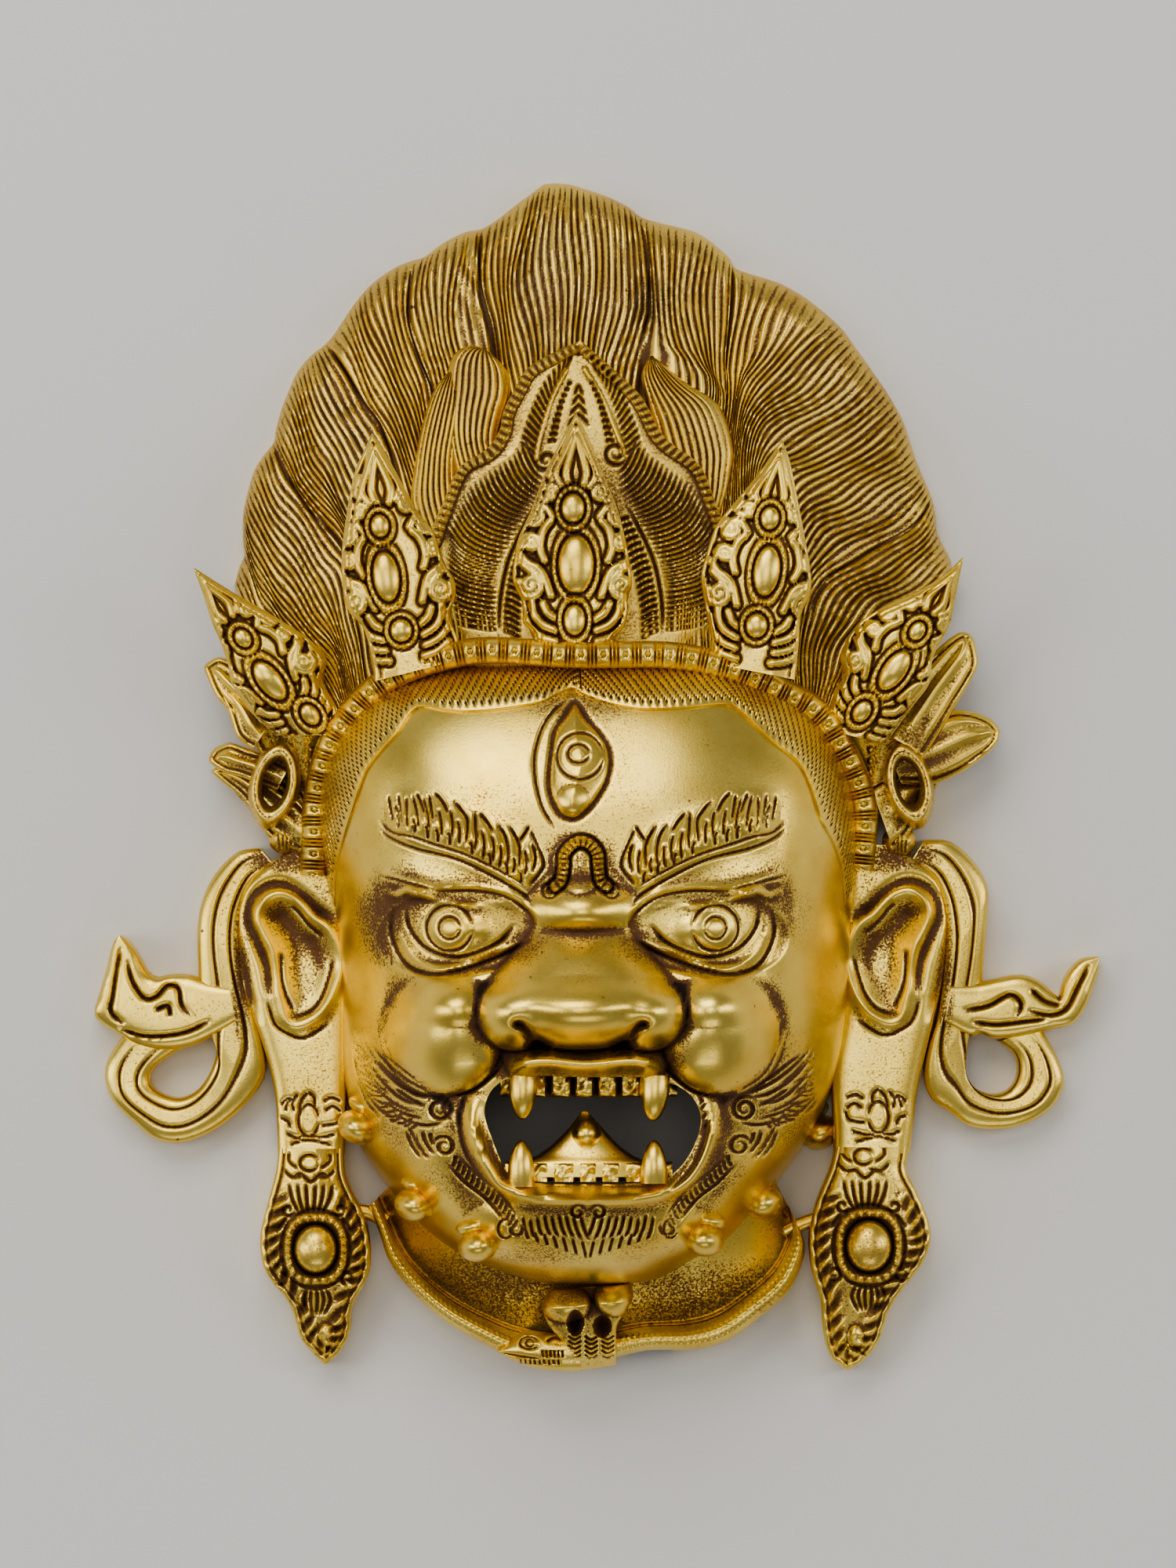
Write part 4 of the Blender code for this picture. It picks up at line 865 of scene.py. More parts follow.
antique = brass("antique_brass", "#EACC6C", "#D2AE58", "#6C4E32", "#2C1C10", rough=0.3, fine_gain=1.6,
                broad_gain=0.2, start=0.52, pits=0.03, grain=1.5)
cast(plate("hair", strand_count, 18, 5, hair_front, hair_back), antique)

# Three small locks and the pointed panel behind the middle leaf, all cast on the hair's slope:
# the panel has a roped border, a ticked band under its gable and combed hair inside.


def blade(name, left, right, columns, rows, finer, form, thickness, material, sink=None):
    """A plate between two edges that run from its foot to its tip."""
    left, right = curve(left, 6), curve(right, 6)

    def front(s, t):
        x, y = between(left, right, s, t)
        return x, y, form(x, y, 2.0 * s - 1.0, t)

    def back(s, t):
        x, y = between(left, right, s, t)
        under = form(x, y, np.clip(2.0 * s - 1.0, -0.9, 0.9), t) - thickness
        return x, y, under if sink is None else np.minimum(under, sink)

    return cast(plate(name, columns, rows, finer, front, back), material)


def small_lock(name, left, right, foot_mm, tip_mm, strands, bow):
    """A lock of hair with a round back and combed strands."""
    def form(x, y, across, t):
        comb = 0.9 * np.abs(np.sin(0.5 * np.pi * strands * (across + bow * t * (1 - across ** 2)))) ** 0.8
        back = 3.4 * round_over(np.abs(across), 3.0) * np.sqrt(1.0 - 0.9 * t ** 6)
        return foot_mm + (tip_mm - foot_mm) * t + back + comb * (1.0 - across ** 4)
    blade(name, left, right, 8, 12, 8, form, 5.0, antique)


small_lock("left_curl", [(600, 650), (578, 600), (568, 545), (570, 490), (575, 458), (591, 442), (608, 441)],
           [(660, 650), (645, 600), (635, 563), (642, 530), (651, 503), (648, 474), (625, 449)],
           19.5, 16.0, 9, 0.15)
small_lock("left_side_lock", [(540, 690), (524, 640), (528, 595), (537, 545), (552, 500), (572, 473)],
           [(600, 690), (585, 630), (582, 585), (588, 545), (592, 505), (582, 474)], 20.0, 16.5, 8, 0.1)
small_lock("right_lock", [(870, 680), (848, 600), (833, 547), (822, 505), (818, 476), (829, 454)],
           [(905, 690), (925, 640), (932, 607), (935, 568), (917, 516), (875, 487), (833, 453)],
           20.5, 16.0, 10, -0.12)

panel_left = curve([(553, 690), (570, 640), (590, 597), (624, 578), (641, 553), (646, 527), (661, 498),
                    (676, 473), (708, 454), (739, 438)])
panel_right = curve([(925, 690), (908, 640), (890, 597), (852, 569), (836, 550), (825, 527), (812, 506),
                     (794, 488), (768, 464), (741, 438)])
gable_left = curve([(722, 472), (705, 506), (694, 540), (686, 570), (684, 586)])
gable_right = curve([(746, 472), (766, 506), (782, 540), (792, 566), (794, 580)])
combed = [[(668, 556), (676, 578), (685, 596), (695, 606)], [(655, 578), (663, 600), (676, 618), (692, 630)],
          [(599, 618), (612, 647), (638, 665), (670, 673)],
          [(566, 668), (586, 697), (612, 712), (646, 720)], [(566, 724), (590, 740), (612, 747), (638, 751)],
          [(574, 766), (592, 775), (612, 780), (637, 785)], [(578, 800), (592, 805), (612, 808), (637, 811)]]
panel_strokes = [curve([(685, 640), (659, 691), (646, 725), (638, 770), (637, 812)], 5)]
for above, below, count in zip(combed, combed[1:], (3, 9, 8, 7, 5, 4)):
    for share in np.arange(count) / count:
        panel_strokes.append(curve(np.array(above) * (1 - share) + np.array(below) * share, 3))
for row_y in range(660, 806, 8):
    foot_x = np.interp(row_y, (640, 691, 725, 770, 812), (688, 662, 650, 642, 641))
    panel_strokes.append(curve([(foot_x, row_y), (foot_x + 13, row_y + 4), (foot_x + 24, row_y + 12)], 3))
for share in np.linspace(0.04, 0.96, 15):
    inner_x, inner_y = along(gable_left, share)
    outer_x, outer_y = along(panel_left[28:], 1.0 - 0.92 * share)
    reach = np.array([outer_x - inner_x, outer_y - inner_y])
    tick = reach / np.hypot(*reach) * min(np.hypot(*reach) - 12.0, 27.0)
    panel_strokes.append(np.array([(inner_x, inner_y), (inner_x + tick[0], inner_y + tick[1])]))
for share in np.linspace(0.12, 0.76, 10):
    inner_x, inner_y = along(gable_left, share)
    tick_x = min(inner_x + 12 + 12 * share, 730)
    panel_strokes.append(curve([(inner_x + 9, inner_y + 8), (0.5 * (inner_x + 9 + tick_x), inner_y + 4),
                                (tick_x, inner_y + 7)], 3))
panel_strokes += flipped(panel_strokes, 741) + [spiral((697, 588), 14, 1.5, 180, -1),
                                                spiral((785, 579), 17, 1.7, 0, 1)]
for k in range(4):
    half, foot_y = 6 + 3 * k, 506 + 13 * k
    panel_strokes.append(curve([(738 - half, foot_y), (738, 494 + 12 * k), (738 + half, foot_y)], 4))


def roped(x, y, path, half, high, twists, lean=0.8):
    """A twisted rope with a groove on both sides of it."""
    def work(px, py):
        distance, share, side = nearest(px, py, path)
        round_back = round_over(distance / half)
        twist = np.cos(2 * np.pi * twists * share + lean * side * distance / half)
        return round_back * high * (0.78 + 0.28 * twist) - 0.7 * bell(distance - half, 1.5, 2.0)
    return local(x, y, path, 2 * half + 6.0, work)


def panel_form(x, y, across, t):
    """The pointed panel, highest along its spine."""
    ground = 20.5 + 5.5 * (1.0 - t) + 3.4 * np.sqrt(1.0 - 0.92 * across ** 4)
    rope = np.maximum(roped(x, y, panel_left, 11.0, 2.0, 34), roped(x, y, panel_right, 11.0, 2.0, 34))
    band = np.maximum(roped(x, y, gable_left, 4.0, 1.0, 1), roped(x, y, gable_right, 4.0, 1.0, 1))
    return ground + rope + band + engraved(x, y, panel_strokes, 2.4, 1.2)


blade("trefoil_panel", [(590, 850), (560, 760), (549, 690), (566, 640), (586, 597), (620, 574), (637, 550),
                        (642, 525), (657, 496), (673, 470), (704, 451), (738, 436)],
      [(890, 850), (915, 760), (929, 690), (912, 640), (893, 595), (855, 565), (840, 548), (829, 525),
       (816, 504), (797, 485), (771, 461), (742, 436)], 26, 32, 7, panel_form, 6.0, antique, 19.0)

# The crown: a half-round bar round the forehead, ringed like a string of beads, with five
# leaf-shaped jewelled plates on it. All cast with the face and polished on their high places.

bar_path = curve([(399, 1117), (401, 1073), (402, 1030), (410, 987), (425, 944), (448, 912), (471, 886),
                  (511, 860), (560, 842), (625, 831), (732, 837), (850, 837), (920, 850), (960, 865),
                  (1000, 885), (1030, 900), (1054, 922), (1073, 953), (1088, 983), (1098, 1010),
                  (1103, 1038), (1102, 1066), (1098, 1110)])
bar_heights = (16, 20, 30, 42, 50, 53, 50, 42, 30, 20, 16)
bar_half = 17.0
bead_count, bead_length = 38.0, 37.0


def swept(path, half):
    """Turns s across and t along into points of a band on both sides of a path."""
    def spot(s, t):
        x, y = along(path, t)
        x1, y1 = along(path, np.minimum(t + 0.006, 1.0))
        x0, y0 = along(path, np.maximum(t - 0.006, 0.0))
        reach = np.hypot(x1 - x0, y1 - y0)
        across = 2.0 * s - 1.0
        return x - (y1 - y0) / reach * half * across, y + (x1 - x0) / reach * half * across
    return spot


def half_round(s):
    """Steps across a band, drawn closer together towards its two sides."""
    return np.sin(0.5 * np.pi * (2.0 * s - 1.0))


def bar_front(s, t):
    across = half_round(s)
    x, y = swept(bar_path, bar_half)(0.5 + 0.5 * across, t)
    beat = (t * bead_count) % 1.0
    rings = -sum(bell(beat, middle, 0.045) for middle in (0.33, 0.5, 0.67))
    dot = bell(np.hypot((beat - np.round(beat)) * bead_length, across * bar_half), 4.0, 1.5)
    return x, y, spaced(t, bar_heights) + (5.0 + 1.3 * rings) * round_over(across) - 0.7 * dot


def bar_back(s, t):
    x, y = swept(bar_path, bar_half)(0.5 + 0.49 * half_round(s), t)
    return x, y, spaced(t, bar_heights) - 4.0


bar_brass = brass("bar_brass", "#F3D670", "#E0BC5A", "#70502F", "#2C1C10", rough=0.23, fine_gain=1.6,
                  broad_gain=0.3, start=0.74, pits=0.01, grain=1.7)
cast(plate("crown_bar", 4, 300, 4, bar_front, bar_back), bar_brass)

leaf_scrolls = [
    spiral((-54, 175), 14, 1.6, 150, -1), spiral((-56, 142), 12, 1.5, 200, -1),
    spiral((-57, 88), 17, 1.7, 160, 1), spiral((-31, 205), 10, 1.4, 140, -1),
    curve([(-75, 132), (-62, 118), (-44, 106), (-32, 76)], 5),
    curve([(-70, 118), (-58, 108), (-40, 92)], 5), curve([(-18, 214), (-26, 232), (-14, 258), (-4, 286)], 5),
    curve([(-8, 212), (-13, 230), (-8, 252), (-1, 276)], 5), curve([(-30, 222), (-34, 236), (-25, 250)], 4),
    curve([(-38, 196), (-48, 204), (-42, 216)], 4), curve([(-27, 18), (-45, 24), (-60, 38), (-67, 58)], 5),
    curve([(-26, 32), (-42, 39), (-53, 52), (-56, 66)], 5), curve([(-24, 46), (-36, 54), (-42, 66)], 4),
    curve([(-24, 4), (-42, 8), (-58, 18)], 4), curve([(-80, 104), (-84, 88), (-76, 66)], 4),
    curve([(-40, 120), (-46, 138), (-42, 158), (-33, 170)], 5), curve([(-30, 176), (-38, 186),
                                                                       (-48, 190)], 4),
]
leaf_scrolls += [line * (-1, 1) for line in leaf_scrolls]


def crown_leaf(name, foot, tip, left, right, heights, stones):
    """One jewelled plate: stones in beaded rings, curling leaves beside them, a flame at the tip."""
    foot, tip = np.array(foot, float), np.array(tip, float)
    scale = np.hypot(*(tip - foot)) / 306.0
    up = (tip - foot) / np.hypot(*(tip - foot))
    aside = np.array([-up[1], up[0]])
    lines = [foot + line[:, :1] * aside * scale + line[:, 1:] * up * scale for line in leaf_scrolls]
    edge_left, edge_right = curve(left, 6), curve(right, 6)
    outline = np.concatenate([edge_left, edge_right[::-1]])

    def form(x, y, across, t):
        rim = nearest(x, y, outline)[0]
        swell = 2.0 * np.sqrt(np.clip(rim / 30.0, 0.0, 1.0)) - 0.7 * bell(rim, 8.0, 2.2)
        low = np.zeros(np.shape(x))
        carved = np.zeros(np.shape(x))
        for line in lines:
            distance = nearest(x, y, line)[0]
            carved = np.maximum(carved, 1.5 * round_over(distance / 5.5))
            low = np.minimum(low, -0.8 * bell(distance, 7.0, 2.0))
        low = np.where(carved > 0.0, carved, low) * ease(2.0, 8.0, rim)
        high = np.zeros(np.shape(x))
        for place, radii, turn, beads in stones:
            u, v = turned(x - place[0], y - place[1], -turn)
            reach = np.hypot(u / radii[0], v / radii[1])
            away = (reach - 1.0) * min(radii)
            near = away < 13.0
            low = np.where(away < 9.0, 0.0, low)
            gem = 0.128 * min(radii) * round_over(reach)
            angle = np.arctan2(v / radii[1], u / radii[0])
            bead = round_over((away - 5.0) / 3.2) * (0.77 + 0.33 * np.cos(beads * angle))
            trench = -0.6 * bell(away, 1.0, 1.4) - 0.7 * bell(away, 9.5, 1.6)
            high = np.where(near, np.maximum(high, gem) + bead + trench, high)
        return spaced(t, heights) + swell + low + high
    blade(name, left, right, 13, 18, 7, form, 5.2, bar_brass)


crown_leaf("outer_left_leaf", (392, 932), (250, 725),
           [(352, 938), (318, 905), (297, 872), (293, 850), (284, 822), (272, 795), (262, 762), (249, 727)],
           [(436, 938), (428, 900), (412, 868), (418, 842), (398, 818), (355, 789), (305, 760), (251, 726)],
           (28, 31, 32, 33), [((346, 869), (15, 29), -38, 22), ((312, 815), (10, 13), -38, 14),
                              ((397, 912), (11, 15), -38, 14)])
crown_leaf("inner_left_leaf", (522, 845), (477, 556),
           [(480, 870), (479, 851), (466, 803), (447, 781), (439, 739), (440, 691), (453, 612),
            (466, 580), (476, 557)],
           [(592, 842), (584, 812), (574, 787), (582, 765), (581, 742), (566, 717), (555, 682),
            (533, 653), (507, 605), (490, 575), (478, 557)],
           (46, 46, 45, 44), [((495, 738), (17, 32), -8, 26), ((487, 674), (12, 15), -8, 16),
                              ((514, 806), (14, 15), -8, 16)])
crown_leaf("centre_leaf", (735, 838), (735, 532),
           [(676, 836), (682, 812), (668, 796), (668, 773), (655, 744), (657, 715), (662, 689),
            (679, 652), (695, 608), (716, 566), (734, 533)],
           [(788, 836), (782, 817), (796, 801), (800, 780), (799, 760), (805, 750), (803, 722),
            (797, 689), (787, 652), (770, 610), (752, 566), (736, 533)],
           (52, 50, 49, 50), [((735, 723), (23, 38), 0, 30), ((731, 652), (15, 19), 0, 18),
                              ((733, 793), (14, 20), 0, 16)])
crown_leaf("inner_right_leaf", (958, 848), (995, 564),
           [(900, 846), (906, 819), (898, 774), (893, 739), (899, 711), (911, 675), (930, 650),
            (952, 624), (978, 590), (994, 565)],
           [(1012, 868), (1017, 819), (1019, 787), (1032, 755), (1030, 720), (1025, 691),
            (1013, 628), (1005, 590), (996, 565)],
           (46, 46, 45, 44), [((976, 731), (17, 32), 8, 26), ((980, 664), (12, 15), 8, 16),
                              ((963, 800), (14, 16), 8, 16)])
crown_leaf("outer_right_leaf", (1090, 932), (1226, 712),
           [(1052, 930), (1062, 885), (1075, 862), (1071, 836), (1090, 800), (1121, 777), (1169, 755),
            (1205, 732), (1225, 713)],
           [(1128, 950), (1160, 905), (1184, 872), (1188, 840), (1203, 812), (1212, 790), (1217, 762),
            (1227, 713)],
           (28, 31, 32, 33), [((1139, 856), (15, 29), 35, 22), ((1168, 806), (10, 13), 35, 14),
                              ((1098, 908), (11, 15), 35, 14)])

# Beside the temples, cast with the crown: petals that fan out behind the outer leaves, and on
# each side a hollow almond loop with a beaded strip and a low petal under it.


def petal(name, left, right, foot_mm, tip_mm, folds):
    """A petal with a round back, a grooved edge and a few folds that run to its tip."""
    outline = np.concatenate([curve(left, 6), curve(right, 6)[::-1]])

    def form(x, y, across, t):
        rim = nearest(x, y, outline)[0]
        back = 2.6 * np.sqrt(np.clip(rim / 24.0, 0.0, 1.0)) - 0.8 * bell(rim, 7.0, 1.8)
        fold = 0.5 * np.cos(np.pi * folds * across) * ease(0.0, 0.3, t) * (1.0 - ease(0.75, 0.95, t))
        return foot_mm + (tip_mm - foot_mm) * t + back + fold * ease(8.0, 14.0, rim)
    blade(name, left, right, 6, 8, 6, form, 4.5, bar_brass)


petal("upper_left_petal", [(322, 935), (300, 915), (276, 890), (262, 860), (259, 851)],
      [(352, 905), (335, 875), (305, 850), (280, 838), (262, 846)], 19, 15, 3)
petal("outer_left_petal", [(322, 956), (310, 948), (300, 936), (290, 907), (276, 880)],
      [(346, 922), (336, 903), (320, 885), (292, 872), (278, 876)], 20, 16, 2)
petal("low_left_petal", [(352, 1010), (310, 992), (285, 985), (266, 972), (267, 961)],
      [(370, 975), (340, 962), (315, 955), (292, 947), (272, 954)], 18, 12, 2)
petal("left_temple_petal", [(382, 1088), (345, 1070), (326, 1046), (306, 1018), (282, 998), (268, 985)],
      [(398, 1040), (370, 1010), (340, 990), (310, 976), (290, 974), (270, 981)], 15, 11, 3)
petal("left_temple_back", [(394, 1050), (374, 1012), (347, 985), (328, 955), (320, 925), (342, 900)],
      [(420, 1050), (424, 1010), (432, 970), (446, 930), (462, 900)], 12, 17, 2)
petal("right_temple_back", [(1092, 1050), (1088, 1010), (1080, 970), (1066, 930), (1050, 900)],
      [(1116, 1050), (1138, 1010), (1163, 985), (1180, 955), (1186, 925), (1162, 900)], 12, 17, 2)
petal("upper_right_petal", [(1120, 930), (1150, 880), (1180, 845), (1205, 820), (1226, 806), (1238, 808)],
      [(1180, 965), (1205, 925), (1224, 893), (1238, 870), (1248, 846), (1243, 815)], 19, 15, 3)
petal("middle_right_petal", [(1130, 950), (1170, 925), (1210, 908), (1235, 906), (1262, 915), (1275, 927)],
      [(1150, 1000), (1190, 1000), (1222, 988), (1250, 970), (1272, 950), (1277, 933)], 18, 12, 3)
petal("low_right_petal", [(1110, 1000), (1140, 985), (1165, 985), (1185, 995), (1196, 1000)],
      [(1140, 1085), (1160, 1064), (1170, 1044), (1176, 1026), (1190, 1009), (1197, 1004)], 16, 12, 2)


def almond(name, place, inner, outer, high, turn):
    """A hollow loop: a round rim turned about a deep almond-shaped hollow."""
    bm = bmesh.new()
    grid = bmesh.ops.create_grid(bm, x_segments=72, y_segments=20, size=0.5)["verts"]
    for v in grid:
        angle, share = 2 * math.pi * (v.co.x + 0.5), v.co.y + 0.5
        grow = 0.5 - 0.5 * math.cos(math.pi * share)
        radii = [a + (b - a) * grow for a, b in zip(inner, outer)]
        u = radii[0] * math.cos(angle) * (1.0 - 0.12 * abs(math.sin(angle)) ** 3)
        w = radii[1] * math.sin(angle)
        z = (high + 0.6) * math.sin(math.pi * share) ** 0.6 - 0.8 * math.exp(-((share - 0.5) / 0.07) ** 2)
        dx, dy = turned(u, w, turn)
        v.co = on_model(place[0] + dx, place[1] + dy, max(z, 0.0))[0]
    bmesh.ops.remove_doubles(bm, verts=bm.verts[:], dist=1e-7)
    bmesh.ops.bridge_loops(bm, edges=[e for e in bm.edges if e.is_boundary])
    cast(made(name, bm), bar_brass)


almond("left_loop", (350, 1000), (13, 26), (34, 60), 24.0, 12)
almond("right_loop", (1159, 1000), (12, 25), (33, 60), 24.0, -14)


def knob(name, place, base_mm, radii, high, material, turn=0.0, lines=()):
    """A low round knob that stands on the casting."""
    bm = bmesh.new()
    verts = bmesh.ops.create_uvsphere(bm, u_segments=48, v_segments=24, radius=1.0)["verts"]
    across, down, up = np.array([v.co for v in verts]).T
    dx, dy = turned(across * radii[0], down * radii[1], turn)
    x, y = place[0] + dx, place[1] + dy
    z = base_mm + high * np.where(up > 0, up, 0.5 * up) + engraved(x, y, lines, 1.8, 0.7)
    for v, point in zip(verts, on_model(x, y, z)):
        v.co = point
    return cast(made(name, bm), material)


for side, x0 in (("left", 396), ("right", 1111)):
    for k in range(7):
        knob(f"{side}_temple_bead_{k + 1}", (x0, 956 + 14 * k), 15.0 - 0.4 * k, (7, 7.5), 3.5, bar_brass)
for name, middle in (("left_low_petal", (363, 1070)), ("right_low_petal", (1148, 1073))):
    folds = [curve([(middle[0] + dx, middle[1] - 20), (middle[0] + 0.7 * dx, middle[1]),
                    (middle[0] + 0.5 * dx, middle[1] + 20)], 5) for dx in (-12, -4, 4, 12)]
    knob(name, middle, 11.0, (22, 20), 6.0, bar_brass, 0.0, folds)

# The ears: flat plates with a deep drop-shaped hollow, folds round it and long lobes that end
# in lotus petals, cast with the face.

hollow_edge = curve([(412, 1193), (393, 1177), (381, 1162), (370, 1152), (355, 1149), (342, 1157),
                     (337, 1172), (345, 1190), (356, 1211), (360, 1249), (366, 1274), (374, 1298),
                     (393, 1292), (406, 1279), (417, 1259), (426, 1228)], 5, True)
outer_fold = curve([(352, 1102), (327, 1105), (306, 1121), (295, 1140), (292, 1165), (296, 1190),
                    (304, 1220), (312, 1250), (320, 1285), (326, 1310)])
ear_fold = curve([(428, 1176), (406, 1162), (388, 1146), (373, 1135), (358, 1129), (342, 1130), (327, 1139),
                  (318, 1154), (317, 1175), (324, 1193), (332, 1213), (340, 1233), (343, 1254), (341, 1272)])
lobe_fold = curve([(340, 1278), (350, 1307), (368, 1320), (383, 1325), (398, 1320), (420, 1305)])
hollow_lines = [curve([(358, 1214), (359, 1249), (365, 1272), (374, 1290)]),
                curve([(374, 1298), (393, 1292), (406, 1279), (415, 1259), (425, 1223)]),
                curve([(412, 1196), (393, 1180), (381, 1165), (370, 1155)])]
bud = [ring((393, 1430), (13, 20))]
bud += [curve(line, 5) for line in (
    [(375, 1419), (372, 1407), (380, 1396)], [(381, 1420), (384, 1404), (393, 1394)],
    [(391, 1393), (400, 1401), (400, 1414)], [(363, 1419), (366, 1408), (374, 1402)],
    [(357, 1411), (364, 1404), (372, 1402)], [(411, 1407), (422, 1401), (435, 1406)],
    [(413, 1419), (424, 1412), (435, 1420)], [(435, 1420), (430, 1433), (408, 1437)],
    [(356, 1427), (366, 1431), (370, 1440)], [(364, 1446), (376, 1452), (392, 1449)],
    [(392, 1449), (408, 1452), (428, 1447)], [(368, 1462), (392, 1455), (424, 1462)])]
ear_axis = 757.0


def ear(name, left, right, side):
    """An ear and its long lobe: two folds run round a drop-shaped hollow that opens to the face."""
    def form(x, y, across, t):
        x, y = (x, y) if side < 0 else (2 * ear_axis - x, y + 4.0)
        depth = inside(x, y, hollow_edge)
        dip = 2.8 * ease(0.0, 26.0, depth + 3.0) * ease(1330.0, 1200.0, y)
        roll = 1.6 * bell(depth, -10.0, 8.0)
        round_side = 2.5 * round_over(across, 6) - 2.5
        deep = ridge(x, y, ear_fold, 7.0, -1.5, 12.0) + ridge(x, y, outer_fold, 8.0, -1.6, 8.0)
        drawn = engraved(x, y, bud + hollow_lines + [lobe_fold], 2.2, 0.85, 9.0)
        return 14.0 + roll - dip + round_side + np.minimum(deep, drawn)
    blade(name, left, right, 8, 22, 7, form, 6.0, polished, 4.0)


ear("left_ear", [(382, 1078), (330, 1110), (306, 1150), (302, 1200), (308, 1260), (326, 1310), (342, 1360),
                 (350, 1400), (352, 1440), (353, 1472)],
    [(432, 1078), (434, 1110), (437, 1150), (440, 1200), (442, 1260), (443, 1310), (442, 1360), (441, 1400),
     (440, 1440), (439, 1472)], -1)
ear("right_ear", [(1076, 1078), (1078, 1110), (1079, 1150), (1079, 1200), (1077, 1260), (1073, 1310),
                  (1064, 1360), (1062, 1400), (1064, 1440), (1064, 1472)],
    [(1136, 1078), (1186, 1110), (1206, 1150), (1209, 1200), (1202, 1260), (1190, 1310), (1178, 1360),
     (1170, 1400), (1166, 1440), (1162, 1472)], 1)


# The ribbons that fly from the ears, cast with them: flat-backed bands with two engraved lines,
# each in a loop with a folded tail that curls up to a point.


def ribbon(name, one, other, rise, columns, rows, lines=(), drawn=()):
    """A band between two edges, with a round front, engraved lines along it and drawn folds."""
    def form(x, y, across, t):
        back = 2.8 * (round_over(across, 4) - 1.0)
        cut = sum(-0.9 * bell(across, line, 0.07) for line in lines)
        cut = cut * ease(0.02, 0.08, t) * ease(0.0, 0.1, 1.0 - t)
        return spaced(t, rise) + back + np.minimum(cut, engraved(x, y, drawn, 3.0, 1.5, 7.0))
    blade(name, one, other, columns, rows, 5, form, 9.0, polished, 0.0)


left_folds = [curve(line, 5) for line in (
    [(152, 1208), (147, 1235), (142, 1270), (140, 1292), (158, 1309)],
    [(160, 1222), (166, 1250), (182, 1274), (198, 1272), (212, 1258), (226, 1262), (230, 1282), (242, 1298)],
    [(148, 1312), (180, 1322), (212, 1322), (240, 1316), (268, 1302)],
    [(196, 1290), (212, 1284), (216, 1298)])]
right_folds = [curve(line, 5) for line in (
    [(1392, 1230), (1376, 1262), (1362, 1288), (1340, 1296), (1312, 1290)],
    [(1230, 1290), (1262, 1284), (1290, 1270), (1304, 1282), (1298, 1300)],
    [(1240, 1304), (1272, 1308), (1310, 1304), (1342, 1300)],
    [(1316, 1262), (1334, 1278), (1356, 1284)])]
ribbon("left_ribbon",
       [(330, 1082), (301, 1087), (272, 1116), (256, 1150), (250, 1188), (251, 1240), (252, 1280),
        (262, 1308), (272, 1325), (274, 1343), (266, 1369), (249, 1392), (226, 1402), (200, 1394),
        (189, 1380), (195, 1363), (215, 1348), (240, 1334)],
       [(352, 1108), (322, 1130), (308, 1165), (304, 1200), (308, 1240), (318, 1280), (330, 1318),
        (337, 1350), (336, 1374), (322, 1398), (295, 1426), (261, 1449), (226, 1460), (195, 1455),
        (172, 1437), (143, 1409), (132, 1383), (132, 1362), (140, 1343), (156, 1320)],
       (12, 12, 12, 11.5, 11, 10, 9.5, 9, 9), 7, 52, (-0.35, 0.42))
ribbon("left_tail",
       [(290, 1258), (262, 1252), (238, 1244), (215, 1244), (198, 1247), (186, 1239), (172, 1214),
        (160, 1199), (151, 1194)],
       [(300, 1306), (272, 1322), (240, 1336), (205, 1340), (175, 1334), (150, 1321), (129, 1308),
        (117, 1294), (123, 1272), (133, 1237), (141, 1205), (149, 1194)],
       (12.5, 12, 11.5, 11, 10.5, 9), 8, 20, drawn=left_folds)
ribbon("right_ribbon",
       [(1180, 1072), (1212, 1073), (1241, 1096), (1260, 1128), (1262, 1159), (1258, 1211), (1254, 1254),
        (1248, 1290), (1238, 1318), (1227, 1343), (1228, 1366), (1241, 1386), (1264, 1397), (1284, 1394),
        (1297, 1380), (1300, 1360), (1293, 1343), (1275, 1330)],
       [(1160, 1104), (1190, 1125), (1204, 1160), (1207, 1200), (1204, 1250), (1196, 1300), (1184, 1340),
        (1180, 1375), (1190, 1403), (1212, 1419), (1241, 1439), (1284, 1442), (1318, 1432), (1344, 1415),
        (1357, 1394), (1360, 1377), (1353, 1354), (1341, 1331), (1330, 1312)],
       (12, 12, 12, 11.5, 11, 10, 9.5, 9, 9), 7, 52, (-0.35, 0.42))
ribbon("right_tail",
       [(1215, 1256), (1250, 1254), (1278, 1248), (1304, 1244), (1327, 1251), (1344, 1266), (1353, 1273),
        (1359, 1251), (1370, 1234), (1384, 1223), (1404, 1221)],
       [(1205, 1306), (1238, 1323), (1252, 1320), (1270, 1326), (1300, 1324), (1344, 1314), (1361, 1311),
        (1376, 1303), (1389, 1283), (1399, 1257), (1406, 1234), (1406, 1222)],
       (12.5, 12, 11.5, 11, 10.5, 9), 8, 20, drawn=right_folds)


# The ear pendants: thick jewelled drops, each with a stone in a beaded ring, petals above and
# below it and a seed at the tip, hung in one with the lobes.


